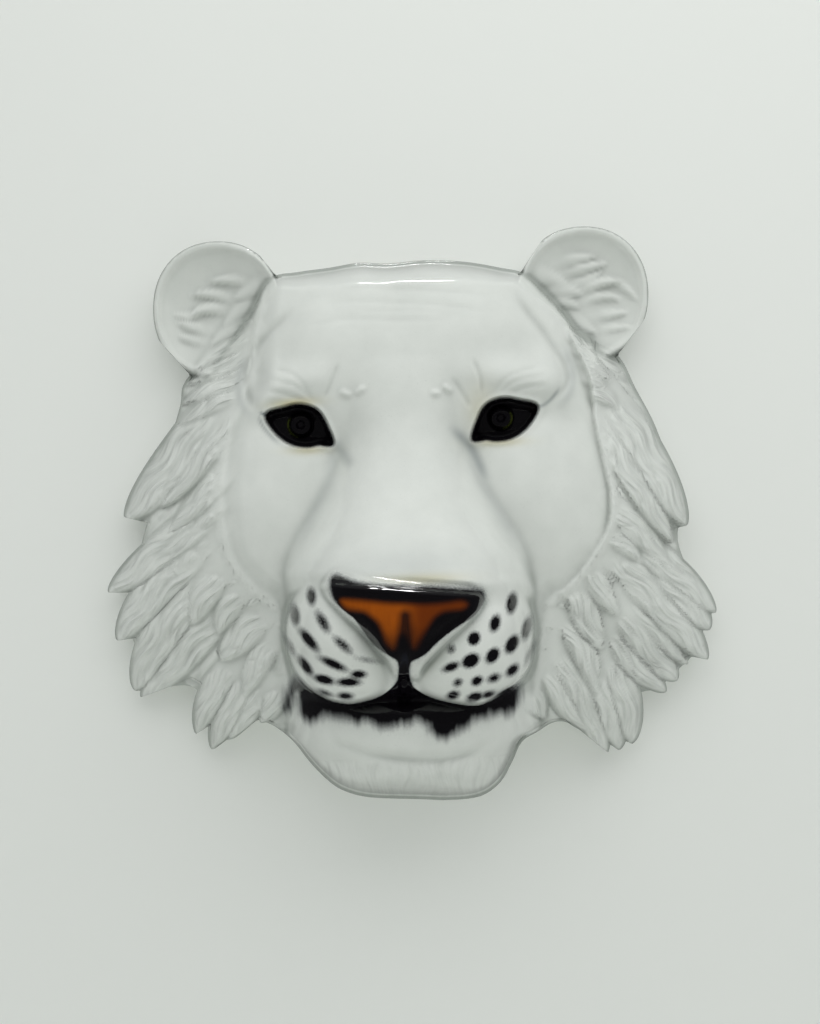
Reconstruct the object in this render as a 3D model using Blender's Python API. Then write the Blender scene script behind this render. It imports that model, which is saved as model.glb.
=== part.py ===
"""Wall mask in the form of a big cat's head: a hollow glazed earthenware shell, open at the back.

Lengths are millimetres until the mesh is written. x runs to the right and y up on the plane of the
wall, and depth is the distance off the wall. The head is laid out as it is seen from VIEW_MM in front
of the wall, so depth draws each point in towards the axis of that view. The layout's zero is midway
between the eyes.
"""

import bmesh
import bpy
import numpy as np

# The view that the layout is drawn for
VIEW_MM = 1150.0
VIEW_AXIS = (5.0, -78.5)

# The place on the layout that becomes the origin: flat clay at the top of the back
HANG_AT = (0.0, 112.0)

# The shell
MESH_CENTRE = (6.0, -103.0)
WALL_MM = 8.0
OUTER_CELLS = 60
SKIRT_ROWS = 2
INNER_CELLS = 28
RIM_DEPTH = 13.0

# The steepest side of a lock's tip against the outline, and the outline's mean radius
STEEPEST = 3.2
MEAN_RADIUS = 240.0

# The field that the surface is measured on, and how far its relief is softened
FIELD_STEP = 2.0
FIELD_X = (-300.0, 306.0)
FIELD_Y = (-364.0, 196.0)
SOFTEN_MM = 3.4

# The shelf across the top of the back, and the hole in it for the hook
SHELF_HALF_WIDTH = 45.0
SHELF_FROM, SHELF_TO = 80.0, 125.0
SHELF_THICK = 8.0
HOLE_AT = 93.0
HOLE_RADIUS = 6.0

# The head without its locks of hair and its ears, clockwise from the crown
HEAD_OUTLINE = [
    (-60, 139), (-34, 142.5), (-8, 141), (25, 143), (60, 140.5), (92, 134), (112, 128), (134, 105),
    (160, 76), (192, 54), (207, 24), (221, -4), (230, -28), (242, -56), (245, -84), (240, -112),
    (252, -150), (258, -185), (250, -214), (226, -232), (204, -238), (184, -262), (158, -270),
    (128, -269), (112, -277), (97, -286), (88, -303), (77, -321), (59, -333), (32, -335.5), (6, -334),
    (-38, -331), (-60, -325), (-74, -316), (-90, -299), (-104, -280), (-117, -268), (-131, -260),
    (-160, -246), (-190, -224), (-222, -205), (-243, -186), (-246, -150), (-238, -118), (-229, -86),
    (-217, -50), (-205, -10), (-195, 22), (-190, 43), (-160, 72), (-132, 102), (-112, 131), (-88, 136),
]
# The smooth face inside the ruff of hair
FACE_OUTLINE = [
    (-108, 140), (-126, 94), (-132, 51), (-143, 20), (-153, -10), (-160, -45), (-161, -80),
    (-153, -116), (-134, -141), (-117, -156), (-112, -190), (-108, -235), (-100, -262), (-100, -300),
    (-70, -350), (70, -350), (98, -300), (104, -266), (112, -235), (116, -200), (126, -160),
    (140, -151), (162, -126), (178, -100), (182, -73), (176, -38), (170, -3), (167, 33), (155, 64),
    (142, 95), (120, 140), (60, 175), (-60, 175),
]
EYE_OUTLINE = [
    (62.5, -17), (67, -2), (75, 12), (89, 17.5), (104, 15.2), (119, 10), (111, -5), (98, -15),
    (84, -18), (74, -16.5),
]

# Each lock of hair: root, bend, tip, half width and how far its tip stands out
LEFT_LOCKS = [
    ((-153, 38), (-193, -23), (-247, -79), 20, 7),
    ((-148, 25), (-181, -31), (-214, -68), 14, 7),
    ((-143, -19), (-173, -58), (-208, -90), 12, 6),
    ((-147, -50), (-169, -74), (-197, -98), 9, 4),
    ((-160, -65), (-209, -101), (-264, -143), 16, 7),
    ((-164, -85), (-230, -140), (-257, -186), 18, 7),
    ((-180, -97), (-196, -112), (-205, -131), 12, 5),
    ((-174, -121), (-221, -173), (-243, -230), 19, 6),
    ((-155, -156), (-207, -200), (-237, -240), 17, 6),
    ((-159, -125), (-183, -142), (-191, -173), 14, 6),
    ((-142, -143), (-162, -156), (-168, -182), 12, 5),
    ((-123, -164), (-145, -178), (-166, -205), 15, 6),
    ((-117, -187), (-137, -205), (-146, -238), 12, 6),
    ((-155, -206), (-179, -232), (-190, -271), 13, 7),
    ((-141, -217), (-162, -249), (-177, -284), 14, 7),
    ((-127, -225), (-139, -244), (-162, -276), 12, 6),
    ((-115, -229), (-123, -247), (-133, -262), 12, 6),
]
RIGHT_LOCKS = [
    ((178, 28), (216, -31), (248, -100), 17, 7),
    ((166, 15), (204, -52), (235, -113), 15, 7),
    ((178, -73), (207, -101), (234, -137), 12, 6),
    ((175, -106), (195, -109), (207, -131), 9, 5),
    ((198, -109), (237, -136), (272, -177), 14, 7),
    ((199, -129), (239, -149), (266, -192), 16, 6),
    ((174, -115), (222, -158), (263, -219), 17, 8),
    ((190, -157), (215, -192), (246, -222), 12, 4),
    ((163, -131), (169, -155), (186, -177), 11, 6),
    ((189, -164), (203, -200), (236, -236), 16, 6),
    ((180, -184), (194, -218), (226, -246), 14, 6),
    ((148, -146), (154, -173), (170, -206), 14, 6),
    ((175, -207), (193, -242), (194, -291), 15, 7),
    ((163, -214), (178, -258), (183, -296), 15, 7),
    ((131, -199), (153, -240), (171, -300), 15, 7),
    ((129, -177), (157, -190), (164, -247), 13, 6),
    ((122, -216), (133, -253), (159, -279), 13, 6),
    ((105, -235), (109, -252), (118, -267), 11, 6),
]

# Each ear: centre, half width, half height and the side it is on
EARS = [(-159.5, 105.0, 57.0, 60.5, -1), (164.0, 109.0, 57.0, 59.5, 1)]

# Each half of the muzzle: its middle and its outline
PADS = [
    ((-56.0, -192.0), [(-109, -190), (-107, -203), (-100.5, -219), (-90, -232), (-79, -240),
                       (-68.5, -245), (-53, -247.5), (-35.5, -244.5), (-24.5, -240), (-15, -232.5),
                       (-10.5, -226), (-9.5, -217), (-6, -205), (-1, -190), (-8, -155), (-28, -130),
                       (-56, -118), (-84, -128), (-101, -150), (-108, -172)]),
    ((54.0, -200.0), [(110.5, -197), (107.5, -216.5), (98, -231), (86, -240), (70, -249),
                      (57, -252.5), (39, -250), (19.5, -244.5), (6.5, -237), (0.5, -230.5),
                      (-0.5, -222), (-1, -210), (0, -190), (8, -160), (28, -136), (58, -126),
                      (88, -135), (105, -156), (111, -178)]),
]

# Each fold over the eyes: its line, half width and depth
FOLDS = [
    ([(-90, 106), (-113, 84), (-130, 64), (-137, 40), (-132, 21), (-121, 7)], 4.0, 4.0),
    ([(100, 120), (110, 99), (131, 70), (146, 43), (143, 25), (121, 9)], 4.0, 4.0),
]


def ease(t):
    """0 to 1 with level ends"""
    t = np.clip(t, 0.0, 1.0)
    return t * t * (3 - 2 * t)


def swell(x, y, cx, cy, rx, ry, turn=0.0):
    """A soft rise of height 1, turned by some degrees"""
    c = np.cos(np.radians(turn))
    s = np.sin(np.radians(turn))
    dx = x - cx
    dy = y - cy
    return np.exp(-(((dx * c + dy * s) / rx) ** 2) - ((dy * c - dx * s) / ry) ** 2)


def blend_max(a, b, k):
    """The higher of two surfaces, with a fillet k high where they meet"""
    h = np.clip(0.5 + 0.5 * (a - b) / k, 0, 1)
    return b + (a - b) * h + k * h * (1 - h)


def blend_min(a, b, k):
    return -blend_max(-a, -b, k)


def through(points, steps, closed=False):
    """A smooth line through the points"""
    p = np.asarray(points, float)
    if closed:
        q = np.vstack([p[-1], p, p[0], p[1]])
    else:
        q = np.vstack([2 * p[0] - p[1], p, 2 * p[-1] - p[-2]])
    t = np.linspace(0, 1, steps, endpoint=False)[:, None]
    runs = []
    for i in range(1, len(q) - 2):
        a, b, c, d = q[i - 1], q[i], q[i + 1], q[i + 2]
        cubic = 3 * b - a - 3 * c + d
        square = 2 * a - 5 * b + 4 * c - d
        runs.append(0.5 * (2 * b + (c - a) * t + square * t**2 + cubic * t**3))
    line = np.vstack(runs)
    return line if closed else np.vstack([line, p[-1]])


def profile(at, stations):
    """A smooth profile through (position, value) stations that never overshoots them"""
    k, v = np.array(sorted(stations), float).T
    gap = np.diff(k)
    rate = np.diff(v) / gap
    slope = np.zeros(len(k))
    same = rate[:-1] * rate[1:] > 0
    slope[1:-1][same] = 2 / (1 / rate[:-1][same] + 1 / rate[1:][same])
    slope[0] = rate[0]
    slope[-1] = rate[-1]
    at = np.clip(at, k[0], k[-1])
    i = np.clip(np.searchsorted(k, at) - 1, 0, len(gap) - 1)
    t = (at - k[i]) / gap[i]
    rising = t * t * (3 - 2 * t)
    leaving = t * (1 - t) ** 2 * gap[i] * slope[i]
    arriving = t * t * (t - 1) * gap[i] * slope[i + 1]
    return (1 - rising) * v[i] + rising * v[i + 1] + leaving + arriving


def along(x, y, line):
    """Distance to an open line, the share of the way along it, and the distance with its side's sign"""
    seg = np.diff(line, axis=0)
    length = np.hypot(seg[:, 0], seg[:, 1])
    start = np.concatenate([[0], np.cumsum(length)])
    best = np.full(x.shape, 1e9)
    share = np.zeros(x.shape)
    side = np.zeros(x.shape)
    for (ax, ay), (sx, sy), ln, st in zip(line[:-1], seg, length, start):
        px = x - ax
        py = y - ay
        t = np.clip((px * sx + py * sy) / (ln * ln), 0, 1)
        d = np.hypot(px - t * sx, py - t * sy)
        near = d < best
        best = np.where(near, d, best)
        share = np.where(near, (st + t * ln) / start[-1], share)
        side = np.where(near, np.sign(sx * py - sy * px) * d, side)
    return best, share, side


def within(x, y, loop):
    """Distance inside a closed line, negative outside it"""
    ends = np.roll(loop, -1, axis=0)
    best = np.full(x.shape, 1e18)
    odd = np.zeros(x.shape, bool)
    for (ax, ay), (bx, by) in zip(loop, ends):
        sx = bx - ax
        sy = by - ay
        px = x - ax
        py = y - ay
        t = np.clip((px * sx + py * sy) / (sx * sx + sy * sy + 1e-12), 0, 1)
        best = np.minimum(best, (px - t * sx) ** 2 + (py - t * sy) ** 2)
        if by != ay:
            odd ^= ((ay > y) != (by > y)) & (x < ax + (y - ay) * (bx - ax) / (by - ay))
    return np.where(odd, 1, -1) * np.sqrt(best)


def lock_of_hair(x, y, lock):
    """How far each point lies inside a lock, and its height there: steep on the lower side, soft above"""
    root, bend, tip, half, lift = lock
    t = np.linspace(0, 1, 12)[:, None]
    line = np.array(root) * (1 - t) ** 2 + 2 * np.array(bend) * t * (1 - t) + np.array(tip) * t**2
    d, s, side = along(x, y, line)
    taper = np.clip((s - 0.4) / 0.6, 0, 1)
    width = half * (0.7 + 0.3 * ease(s / 0.4)) * np.clip(1 - taper**2.5, 0, None) ** 0.6 + 0.05
    n = np.clip(side / width, -3, 3) * (-1 if tip[0] > root[0] else 1)
    beyond = (s > 0.999) & (d > 0)
    inside = np.where(beyond, -d, width * (1 - np.abs(n)))
    steep = np.clip(1 - np.abs(n) ** 3.2, 0, None) ** 0.5
    crown = np.where(n > 0, steep, 0.3 * steep + 0.7 * ease(1 + n))
    height = lift * (0.25 + 0.75 * ease(s / 0.7)) * crown * ease(s / 0.4)
    return inside, np.where(beyond, 0, height)


def ear(x, y, shape):
    """How far each point lies inside an ear, and the depth of its bowl and lip there"""
    cx, cy, rx, ry, side = shape
    dx = (x - cx) / rx
    dy = (y - cy) / ry
    out = (np.abs(dx) ** 2.15 + np.abs(dy) ** 2.15) ** (1 / 2.15)
    lip = 44 - 12 * side * dx + 3 * dy
    bowl = lip - 17 * np.clip(1 - (out / 0.94) ** 2, 0, None) ** 0.8
    roll = 0.7 * np.clip(1 - ((out - 0.94) / 0.08) ** 2, 0, None)
    depth = np.where(out < 0.94, bowl, lip) + roll - 4 * ease((out - 0.95) / 0.06)
    return (1 - out) * rx, depth


def skull(x, y, edge):
    """Forehead, brows, sockets and cheeks"""
    top = profile(y, [(-350, 96), (-300, 126), (-250, 128), (-200, 124), (-150, 122), (-100, 121),
                      (-50, 121), (0, 122), (40, 124), (70, 122), (100, 116), (125, 108), (160, 100)])
    half = profile(y, [(-350, 120), (-250, 125), (-200, 128), (-150, 148), (-110, 176), (-60, 180),
                       (0, 170), (50, 154), (100, 142), (140, 132)])
    s = np.clip(np.abs(x) / half, 0, 1)
    depth = edge + (top - edge) * (1 - s**2.4) ** 0.8
    for side in (-1, 1):
        depth = depth + 6 * swell(x, y, side * 70, 84, 46, 36, side * 15)
        depth = depth + 9 * swell(x, y, side * 98, 38, 38, 16, side * -10)
        depth = depth + 8 * swell(x, y, side * 130, 34, 17, 24, side * 10)
        depth = depth - 9 * swell(x, y, side * 92, 0, 32, 15, side * 6)
        depth = depth - 7 * swell(x, y, side * 60, -24, 11, 20, side * 24)
        depth = depth + 9 * swell(x, y, side * 122, -70, 40, 52, side * 12)
        depth = depth - 4 * swell(x, y, side * 142, 4, 14, 22, side * 30)
    depth = depth - 3 * swell(x, y, 0, 112, 14, 40)
    return depth + 4 * swell(x, y, 0, 34, 34, 26)


def snout(x, y):
    """The bridge of the nose, widening into the top of the muzzle"""
    foot = 62.0
    ridge = profile(y, [(-160, 230), (-145, 226), (-136, 220), (-120, 205), (-90, 181), (-60, 160),
                        (-30, 142), (0, 129), (25, 120), (50, 108), (75, 80)])
    half = profile(y, [(-200, 118), (-160, 118), (-138, 116), (-120, 112), (-60, 80), (-20, 58),
                       (0, 54), (40, 60)])
    fullness = profile(y, [(-120, 0.62), (0, 0.85)])
    t = np.clip(np.abs(x) / half, 0, 1)
    depth = foot + (ridge - foot) * (1 - t**2.9) ** fullness
    turn = 13 + 26 * ease((np.abs(x) - 52) / 22)
    depth = np.where((y < 74) & (t < 1), depth, -60) - 42 * ease((-y - 137 - 0.1 * x) / turn)
    lower = profile(y, [(-262, 0.3), (-250, 0.6), (-235, 0.9), (-215, 1.0)])
    depth = foot + (depth - foot) * np.where(y < -137, lower, 1)
    return np.where(y < -262, -60, depth)


def pad(x, y, shape):
    """One rounded half of the muzzle, and how softly it runs into the bridge above"""
    (cx, cy), line = shape
    rim = through(line, 6, closed=True) - (cx, cy)
    turn = np.arctan2(rim[:, 1], rim[:, 0])
    order = np.argsort(turn)
    reach = np.interp(np.arctan2(y - cy, x - cx), turn[order], np.hypot(*rim[order].T), period=2 * np.pi)
    out = (np.hypot(x - cx, y - cy) / reach) ** 2.3
    base = 92 + 68 * ease((-y - 200) / 40)
    depth = np.where(out < 1, base + (210 - base) * np.clip(1 - out, 0, None) ** 0.46, 0)
    return depth, 3 + 18 * ease((y - cy + 8) / 40)


def nose(x, y):
    """The bare tip of the nose, wide above and pointed below"""
    dx = x + 2.5
    yn = y + 0.105 * dx
    front = profile(yn, [(-230, 190), (-214, 207), (-205, 216), (-190, 226), (-175, 231), (-160, 232),
                         (-150, 230), (-143, 226), (-136, 218), (-125, 195)])
    half = profile(yn, [(-230, 4), (-216, 9), (-206, 17), (-190, 32), (-172, 52), (-160, 63),
                        (-150, 66), (-140, 64), (-130, 56)])
    past = np.clip((np.abs(dx) - half) / 6, 0, None)
    depth = front - 20 * (dx / 66) ** 4 - 14 * past**1.5
    return np.where((yn < -122) & (yn > -226), depth, 0)


def jaw(x, y):
    """The lower lip and the chin"""
    front = profile(y, [(-345, 90), (-334, 116), (-325, 134), (-312, 146), (-299, 150), (-288, 158),
                        (-272, 162), (-258, 160), (-245, 154), (-220, 144)])
    half = profile(y, [(-345, 80), (-330, 88), (-300, 104), (-270, 114), (-230, 120)])
    s = np.clip(np.abs(x - 2) / half, 0, 1)
    depth = 45 + (front - 45) * (1 - s**2.6) ** 0.6
    return np.where((y < -215) & (s < 1), depth, -60)


def rounded_edge(y, inside, depth):
    """The turn of the crown and the chin towards the wall"""
    low = profile(y, [(-340, 46), (-320, 44), (-285, 42), (-270, 50), (-255, 200), (30, 200),
                      (52, 44), (75, 40), (110, 40), (142, 42)])
    radius = profile(y, [(-340, 30), (-300, 30), (-262, 20), (-240, 8), (0, 8), (75, 20),
                         (110, 36), (142, 50)])
    rise = profile(y, [(-340, 110), (-285, 110), (-262, 120), (-240, 160), (0, 160), (75, 96), (142, 78)])
    u = np.clip(inside / radius, 0, 1)
    turned = low + rise * np.sqrt(1 - (1 - u) ** 2)
    return np.where(u < 1, blend_min(depth, turned, 3), depth)


def head(x, y):
    """How far each point lies inside the outline, and the depth of the surface there"""
    inside = within(x, y, through(HEAD_OUTLINE, 4, closed=True))
    in_face = within(x, y, through(FACE_OUTLINE, 4, closed=True))
    edge = profile(y, [(-350, 70), (-280, 76), (-240, 84), (-200, 90), (-100, 92), (0, 86),
                       (60, 84), (140, 80)])
    seam = edge + 8
    face = blend_min(skull(x, y, edge), seam + 50 * ease(in_face / 40), 8)
    spread = profile(y, [(-300, 38), (-240, 36), (-200, 28), (-60, 26), (10, 12), (50, 0)])
    spread = spread * ease((np.abs(x - 2) - 98) / 30)
    to_rim = np.clip(inside + spread, 0, None)
    share = to_rim / (to_rim + np.clip(-in_face, 0, None) + 1e-6)
    ruff = RIM_DEPTH + (seam - RIM_DEPTH) * share**0.9
    depth = np.where(in_face > 0, face, ruff)
    depth = blend_max(depth, snout(x, y), 10 + 22 * ease((y + 150) / 50))
    for shape in PADS:
        surface, fillet = pad(x, y, shape)
        depth = blend_max(depth, surface, fillet)
    depth = blend_max(depth, nose(x, y), 4)
    depth = np.where(y < -215, blend_max(depth, jaw(x, y), 4), depth)
    depth = rounded_edge(y, inside, depth)
    for side in (-1, 1):
        in_eye = within(x, y, through([(side * ex, ey) for ex, ey in EYE_OUTLINE], 5, closed=True))
        ball = 103 - 4.5 * ((x - side * 90) / 28) ** 2 - 3.5 * (y / 17) ** 2
        depth = depth + 2.0 * np.exp(-(((in_eye + 3.5) / 4) ** 2))
        depth = np.where(in_eye > 0, blend_min(depth, ball, 1), depth)
    for points, width, cut in FOLDS:
        d, s, _ = along(x, y, through(points, 6))
        depth = depth - cut * np.exp(-((d / width) ** 2)) * ease(s / 0.25) * ease((1 - s) / 0.25)
    for shape in EARS:
        in_ear, bowl = ear(x, y, shape)
        behind = np.where(inside > 0, depth, -1e3)
        depth = np.where(in_ear > 0, blend_max(behind, bowl, 3), depth)
        inside = np.maximum(inside, in_ear)
    relief = np.zeros(x.shape)
    for lock in LEFT_LOCKS + RIGHT_LOCKS:
        in_lock, height = lock_of_hair(x, y, lock)
        relief = np.where(in_lock > 0, blend_max(relief, height, 0.8), relief)
        inside = np.maximum(inside, in_lock)
    return inside, depth + relief


def seen(x, y, depth):
    """True place of a point of the layout: depth draws it in towards the axis of the view"""
    pull = 1 - depth / VIEW_MM
    return VIEW_AXIS[0] + (x - VIEW_AXIS[0]) * pull, VIEW_AXIS[1] + (y - VIEW_AXIS[1]) * pull


def softened(field, weight, reach_mm):
    """A field averaged over a bell-shaped patch, counting only the weighted points"""
    reach = int(np.ceil(3 * reach_mm / FIELD_STEP))
    bell = np.exp(-0.5 * ((np.arange(-reach, reach + 1) * FIELD_STEP / reach_mm) ** 2))
    sums = []
    for values in (field * weight, weight):
        for axis in (0, 1):
            values = np.apply_along_axis(np.convolve, axis, values, bell, mode="same")
        sums.append(values)
    return np.where(sums[1] > 1e-4, sums[0] / np.maximum(sums[1], 1e-4), field)


def measured(field, x, y):
    """Value of a field at any points of the layout"""
    u = np.clip((x - FIELD_X[0]) / FIELD_STEP, 0, field.shape[0] - 1.001)
    v = np.clip((y - FIELD_Y[0]) / FIELD_STEP, 0, field.shape[1] - 1.001)
    i = u.astype(int)
    j = v.astype(int)
    near = field[i, j] * (1 - u + i) + field[i + 1, j] * (u - i)
    far = field[i, j + 1] * (1 - u + i) + field[i + 1, j + 1] * (u - i)
    return near * (1 - v + j) + far * (v - j)


def outline_radii(inside, count):
    """Distance from the mesh's centre to the silhouette at evenly spaced angles"""
    angle = np.linspace(0, 2 * np.pi, count, endpoint=False)[:, None]
    reach = np.arange(180.0, 330.0, 1.0)[None, :]
    covered = measured(inside, MESH_CENTRE[0] + reach * np.cos(angle), MESH_CENTRE[1] + reach * np.sin(angle))
    last = covered.shape[1] - 1 - np.argmax(covered[:, ::-1] > 0, axis=1)
    found = reach[0, last]
    radius = found
    for step in range(1, count // 36):
        allowed = STEEPEST * MEAN_RADIUS * 2 * np.pi * step / count
        radius = np.minimum(radius, np.roll(found, step) + allowed)
        radius = np.minimum(radius, np.roll(found, -step) + allowed)
    return angle[:, 0], radius


def evenly(angle, radius, share):
    """Points of a closed outline at shares of its length, from the angle 0"""
    ring = np.column_stack([radius * np.cos(angle), radius * np.sin(angle)])
    ring = np.vstack([ring, ring[:1]])
    run = np.concatenate([[0], np.cumsum(np.hypot(*np.diff(ring, axis=0).T))])
    at = np.mod(share, 1.0) * run[-1]
    return np.stack([np.interp(at, run, ring[:, 0]), np.interp(at, run, ring[:, 1])], axis=-1)


def rounded(values, reach):
    """A closed run of values, averaged over a reach of steps on each side"""
    padded = np.concatenate([values[-reach:], values, values[:reach]])
    return np.convolve(padded, np.ones(2 * reach + 1) / (2 * reach + 1), mode="valid")


def disc(cells):
    """Ring number and share of the way round for each vertex of a square grid laid out as a disc"""
    steps = np.arange(cells + 1) - cells / 2
    a, b = np.meshgrid(steps, steps, indexing="ij")
    wide = np.abs(a) > np.abs(b)
    with np.errstate(divide="ignore", invalid="ignore"):
        turn = np.where(wide, b / a, 2 - a / b) * np.pi / 4
    turn = np.where(wide & (a < 0), turn + np.pi, turn)
    turn = np.where(~wide & (b < 0), turn + np.pi, turn)
    turn = np.nan_to_num(turn)
    return np.maximum(np.abs(a), np.abs(b)), np.mod(turn / (2 * np.pi), 1.0)


def spread_out(field, x, y, ring, edge, rounds):
    """Shift the vertices inside the edge ring until their edges are nearly equal in space"""
    free = ring < edge
    for _ in range(rounds):
        depth = measured(field, x, y)
        total = np.zeros(x.shape)
        px = np.zeros(x.shape)
        py = np.zeros(x.shape)
        for axis, step in ((0, 1), (0, -1), (1, 1), (1, -1)):
            ox = np.roll(x, step, axis)
            oy = np.roll(y, step, axis)
            drop = np.roll(depth, step, axis) - depth
            pull = 4 + np.sqrt((ox - x) ** 2 + (oy - y) ** 2 + (0.8 * drop) ** 2)
            total += pull
            px += pull * ox
            py += pull * oy
        x = np.where(free, 0.5 * x + 0.5 * px / total, x)
        y = np.where(free, 0.5 * y + 0.5 * py / total, y)
    return x, y


def wall_ring(x, y, depth):
    """How far in from the silhouette the shell meets the wall, as a share of the radius"""
    off_head = -within(x, y, through(HEAD_OUTLINE, 4, closed=True))
    return 0.006 + 0.0003 * depth + 0.03 * ease(off_head / 45)


def outer_surface(inside, front):
    """Grid of true points over the front, round the silhouette and in to the wall"""
    angle, radius = outline_radii(inside, 1440)
    core = rounded(rounded(radius, 50), 50)
    ring, share = disc(OUTER_CELLS)
    edge = OUTER_CELLS / 2 - SKIRT_ROWS
    rim = evenly(angle, radius, share)
    soft = evenly(angle, core, share)
    out = np.minimum(ring / edge, 1.0)[..., None]
    place = out * ((1 - out**4) * soft + out**4 * rim)
    x = MESH_CENTRE[0] + place[..., 0]
    y = MESH_CENTRE[1] + place[..., 1]
    x, y = spread_out(front, x, y, ring, edge, 60)
    just_in = 1 - 3.5 / np.hypot(rim[..., 0], rim[..., 1])
    at_rim = measured(front, MESH_CENTRE[0] + rim[..., 0] * just_in, MESH_CENTRE[1] + rim[..., 1] * just_in)
    depth = np.where(ring < edge, measured(front, x, y), at_rim)
    tx, ty = seen(x, y, depth)
    row = np.clip(ring - edge, 0, SKIRT_ROWS).astype(int)
    draw = 1 - wall_ring(x, y, depth) * np.array([0.0, 0.3, 1.0])[row]
    tx = MESH_CENTRE[0] + (tx - MESH_CENTRE[0]) * draw
    ty = MESH_CENTRE[1] + (ty - MESH_CENTRE[1]) * draw
    return tx, ty, depth * np.array([1.0, 0.5, 0.0])[row]


def hollow_surface(inside, front):
    """Grid of true points over the inside, one wall's thickness or more behind the front"""
    depth = softened(np.where(inside > 0, front, -30.0), np.ones(front.shape), 7.0)
    depth = np.minimum(depth, np.where(inside > 0, front, -50.0))
    thick = WALL_MM + 3
    reach = int(thick // FIELD_STEP)
    inner = depth - thick
    for i in range(-reach, reach + 1):
        for j in range(-reach, reach + 1):
            across = FIELD_STEP * np.hypot(i, j)
            if across <= thick:
                moved = np.roll(depth, (i, j), axis=(0, 1)) - np.sqrt(thick**2 - across**2)
                inner = np.minimum(inner, moved)
    inner = np.minimum(inner, softened(inner, np.ones(inner.shape), 8.0))
    angle, radius = outline_radii(inside, 720)
    rim_x = MESH_CENTRE[0] + 0.994 * radius * np.cos(angle)
    rim_y = MESH_CENTRE[1] + 0.994 * radius * np.sin(angle)
    rim_depth = measured(front, rim_x, rim_y)
    foot = radius * (1 - rim_depth / VIEW_MM) * (1 - wall_ring(rim_x, rim_y, rim_depth))
    foot = np.min([np.roll(foot, k) for k in range(-7, 8)], axis=0) - WALL_MM
    foot = rounded(foot, 3)
    ring, share = disc(INNER_CELLS)
    last = INNER_CELLS / 2
    out = np.where(ring < last, 0.965 * ring / (last - 1), 1.0)[..., None]
    core = rounded(rounded(foot, 25), 25)
    place = out * ((1 - out**4) * evenly(angle, core, share) + out**4 * evenly(angle, foot, share))
    x = MESH_CENTRE[0] + place[..., 0]
    y = MESH_CENTRE[1] + place[..., 1]
    x, y = spread_out(inner, x, y, ring, last - 1, 30)
    depth = np.where(ring < last, np.maximum(measured(inner, x, y), -3.0), -4.0)
    tx, ty = seen(x, y, np.maximum(depth, 0))
    return tx, ty, depth


def solid_from_grid(name, x, y, depth, back):
    """A closed solid: the grid in front, and a flat face at depth `back` behind it"""
    cells = x.shape[0] - 1
    mesh = bpy.data.meshes.new(name)
    work = bmesh.new()
    bmesh.ops.create_grid(work, x_segments=cells, y_segments=cells, size=1.0)
    work.verts.ensure_lookup_table()
    for vert in work.verts:
        i = round((vert.co.x + 1) * cells / 2)
        j = round((vert.co.y + 1) * cells / 2)
        vert.co.x = (x[i, j] - HANG_AT[0]) / 1000
        vert.co.y = -depth[i, j] / 1000
        vert.co.z = (y[i, j] - HANG_AT[1]) / 1000
    border = [edge for edge in work.edges if edge.is_boundary]
    if back is not None:
        grown = bmesh.ops.extrude_edge_only(work, edges=border)["geom"]
        moved = [part for part in grown if isinstance(part, bmesh.types.BMVert)]
        for vert in moved:
            vert.co.y = -back / 1000
        border = [edge for edge in work.edges if edge.is_boundary]
    bmesh.ops.holes_fill(work, edges=border, sides=0)
    quads = [face for face in work.faces if len(face.verts) == 4]
    bmesh.ops.triangulate(work, faces=quads, quad_method="SHORT_EDGE")
    bmesh.ops.recalc_face_normals(work, faces=work.faces)
    work.to_mesh(mesh)
    work.free()
    return bpy.data.objects.new(name, mesh)


def cut(target, other, operation):
    step = target.modifiers.new(operation.lower() + " " + other.name, "BOOLEAN")
    step.object = other
    step.operation = operation
    step.solver = "EXACT"


for old in list(bpy.data.objects):
    bpy.data.objects.remove(old, do_unlink=True)

finished = bpy.data.collections.new("big_cat_wall_mask")
helpers = bpy.data.collections.new("cutters")
bpy.context.scene.collection.children.link(finished)
bpy.context.scene.collection.children.link(helpers)

# The head measured on a fine field, softened to what the mesh can hold
field_x, field_y = np.meshgrid(
    np.arange(*FIELD_X, FIELD_STEP), np.arange(*FIELD_Y, FIELD_STEP), indexing="ij"
)
covered, sculpted = head(field_x, field_y)
sculpted = softened(sculpted, (covered > -1).astype(float), SOFTEN_MM)

# The shell's outside
mask = solid_from_grid("big_cat_mask", *outer_surface(covered, sculpted), None)
finished.objects.link(mask)

# The space inside
hollow = solid_from_grid("hollow", *hollow_surface(covered, sculpted), -6.0)
helpers.objects.link(hollow)

# The hanging shelf
shelf_mesh = bpy.data.meshes.new("shelf")
shelf_work = bmesh.new()
bmesh.ops.create_cube(shelf_work, size=1.0)
shelf_size = (2 * SHELF_HALF_WIDTH, SHELF_THICK, SHELF_TO - SHELF_FROM)
bmesh.ops.scale(shelf_work, vec=[side / 1000 for side in shelf_size], verts=shelf_work.verts)
shelf_up = (SHELF_FROM + SHELF_TO) / 2 - HANG_AT[1]
shelf_at = (0.0, -SHELF_THICK / 2000, shelf_up / 1000)
bmesh.ops.translate(shelf_work, vec=shelf_at, verts=shelf_work.verts)
shelf_work.to_mesh(shelf_mesh)
shelf_work.free()
shelf = bpy.data.objects.new("shelf", shelf_mesh)
helpers.objects.link(shelf)

# The hole for the hook
bpy.ops.mesh.primitive_cylinder_add(
    vertices=32,
    radius=HOLE_RADIUS / 1000,
    depth=0.04,
    location=(0.0, 0.0, (HOLE_AT - HANG_AT[1]) / 1000),
    rotation=(np.pi / 2, 0.0, 0.0),
)
hook_hole = bpy.context.object
hook_hole.name = "hook_hole"
for held_in in list(hook_hole.users_collection):
    held_in.objects.unlink(hook_hole)
helpers.objects.link(hook_hole)

for helper in (hollow, shelf, hook_hole):
    helper.hide_render = True
    helper.display_type = "WIRE"

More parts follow.
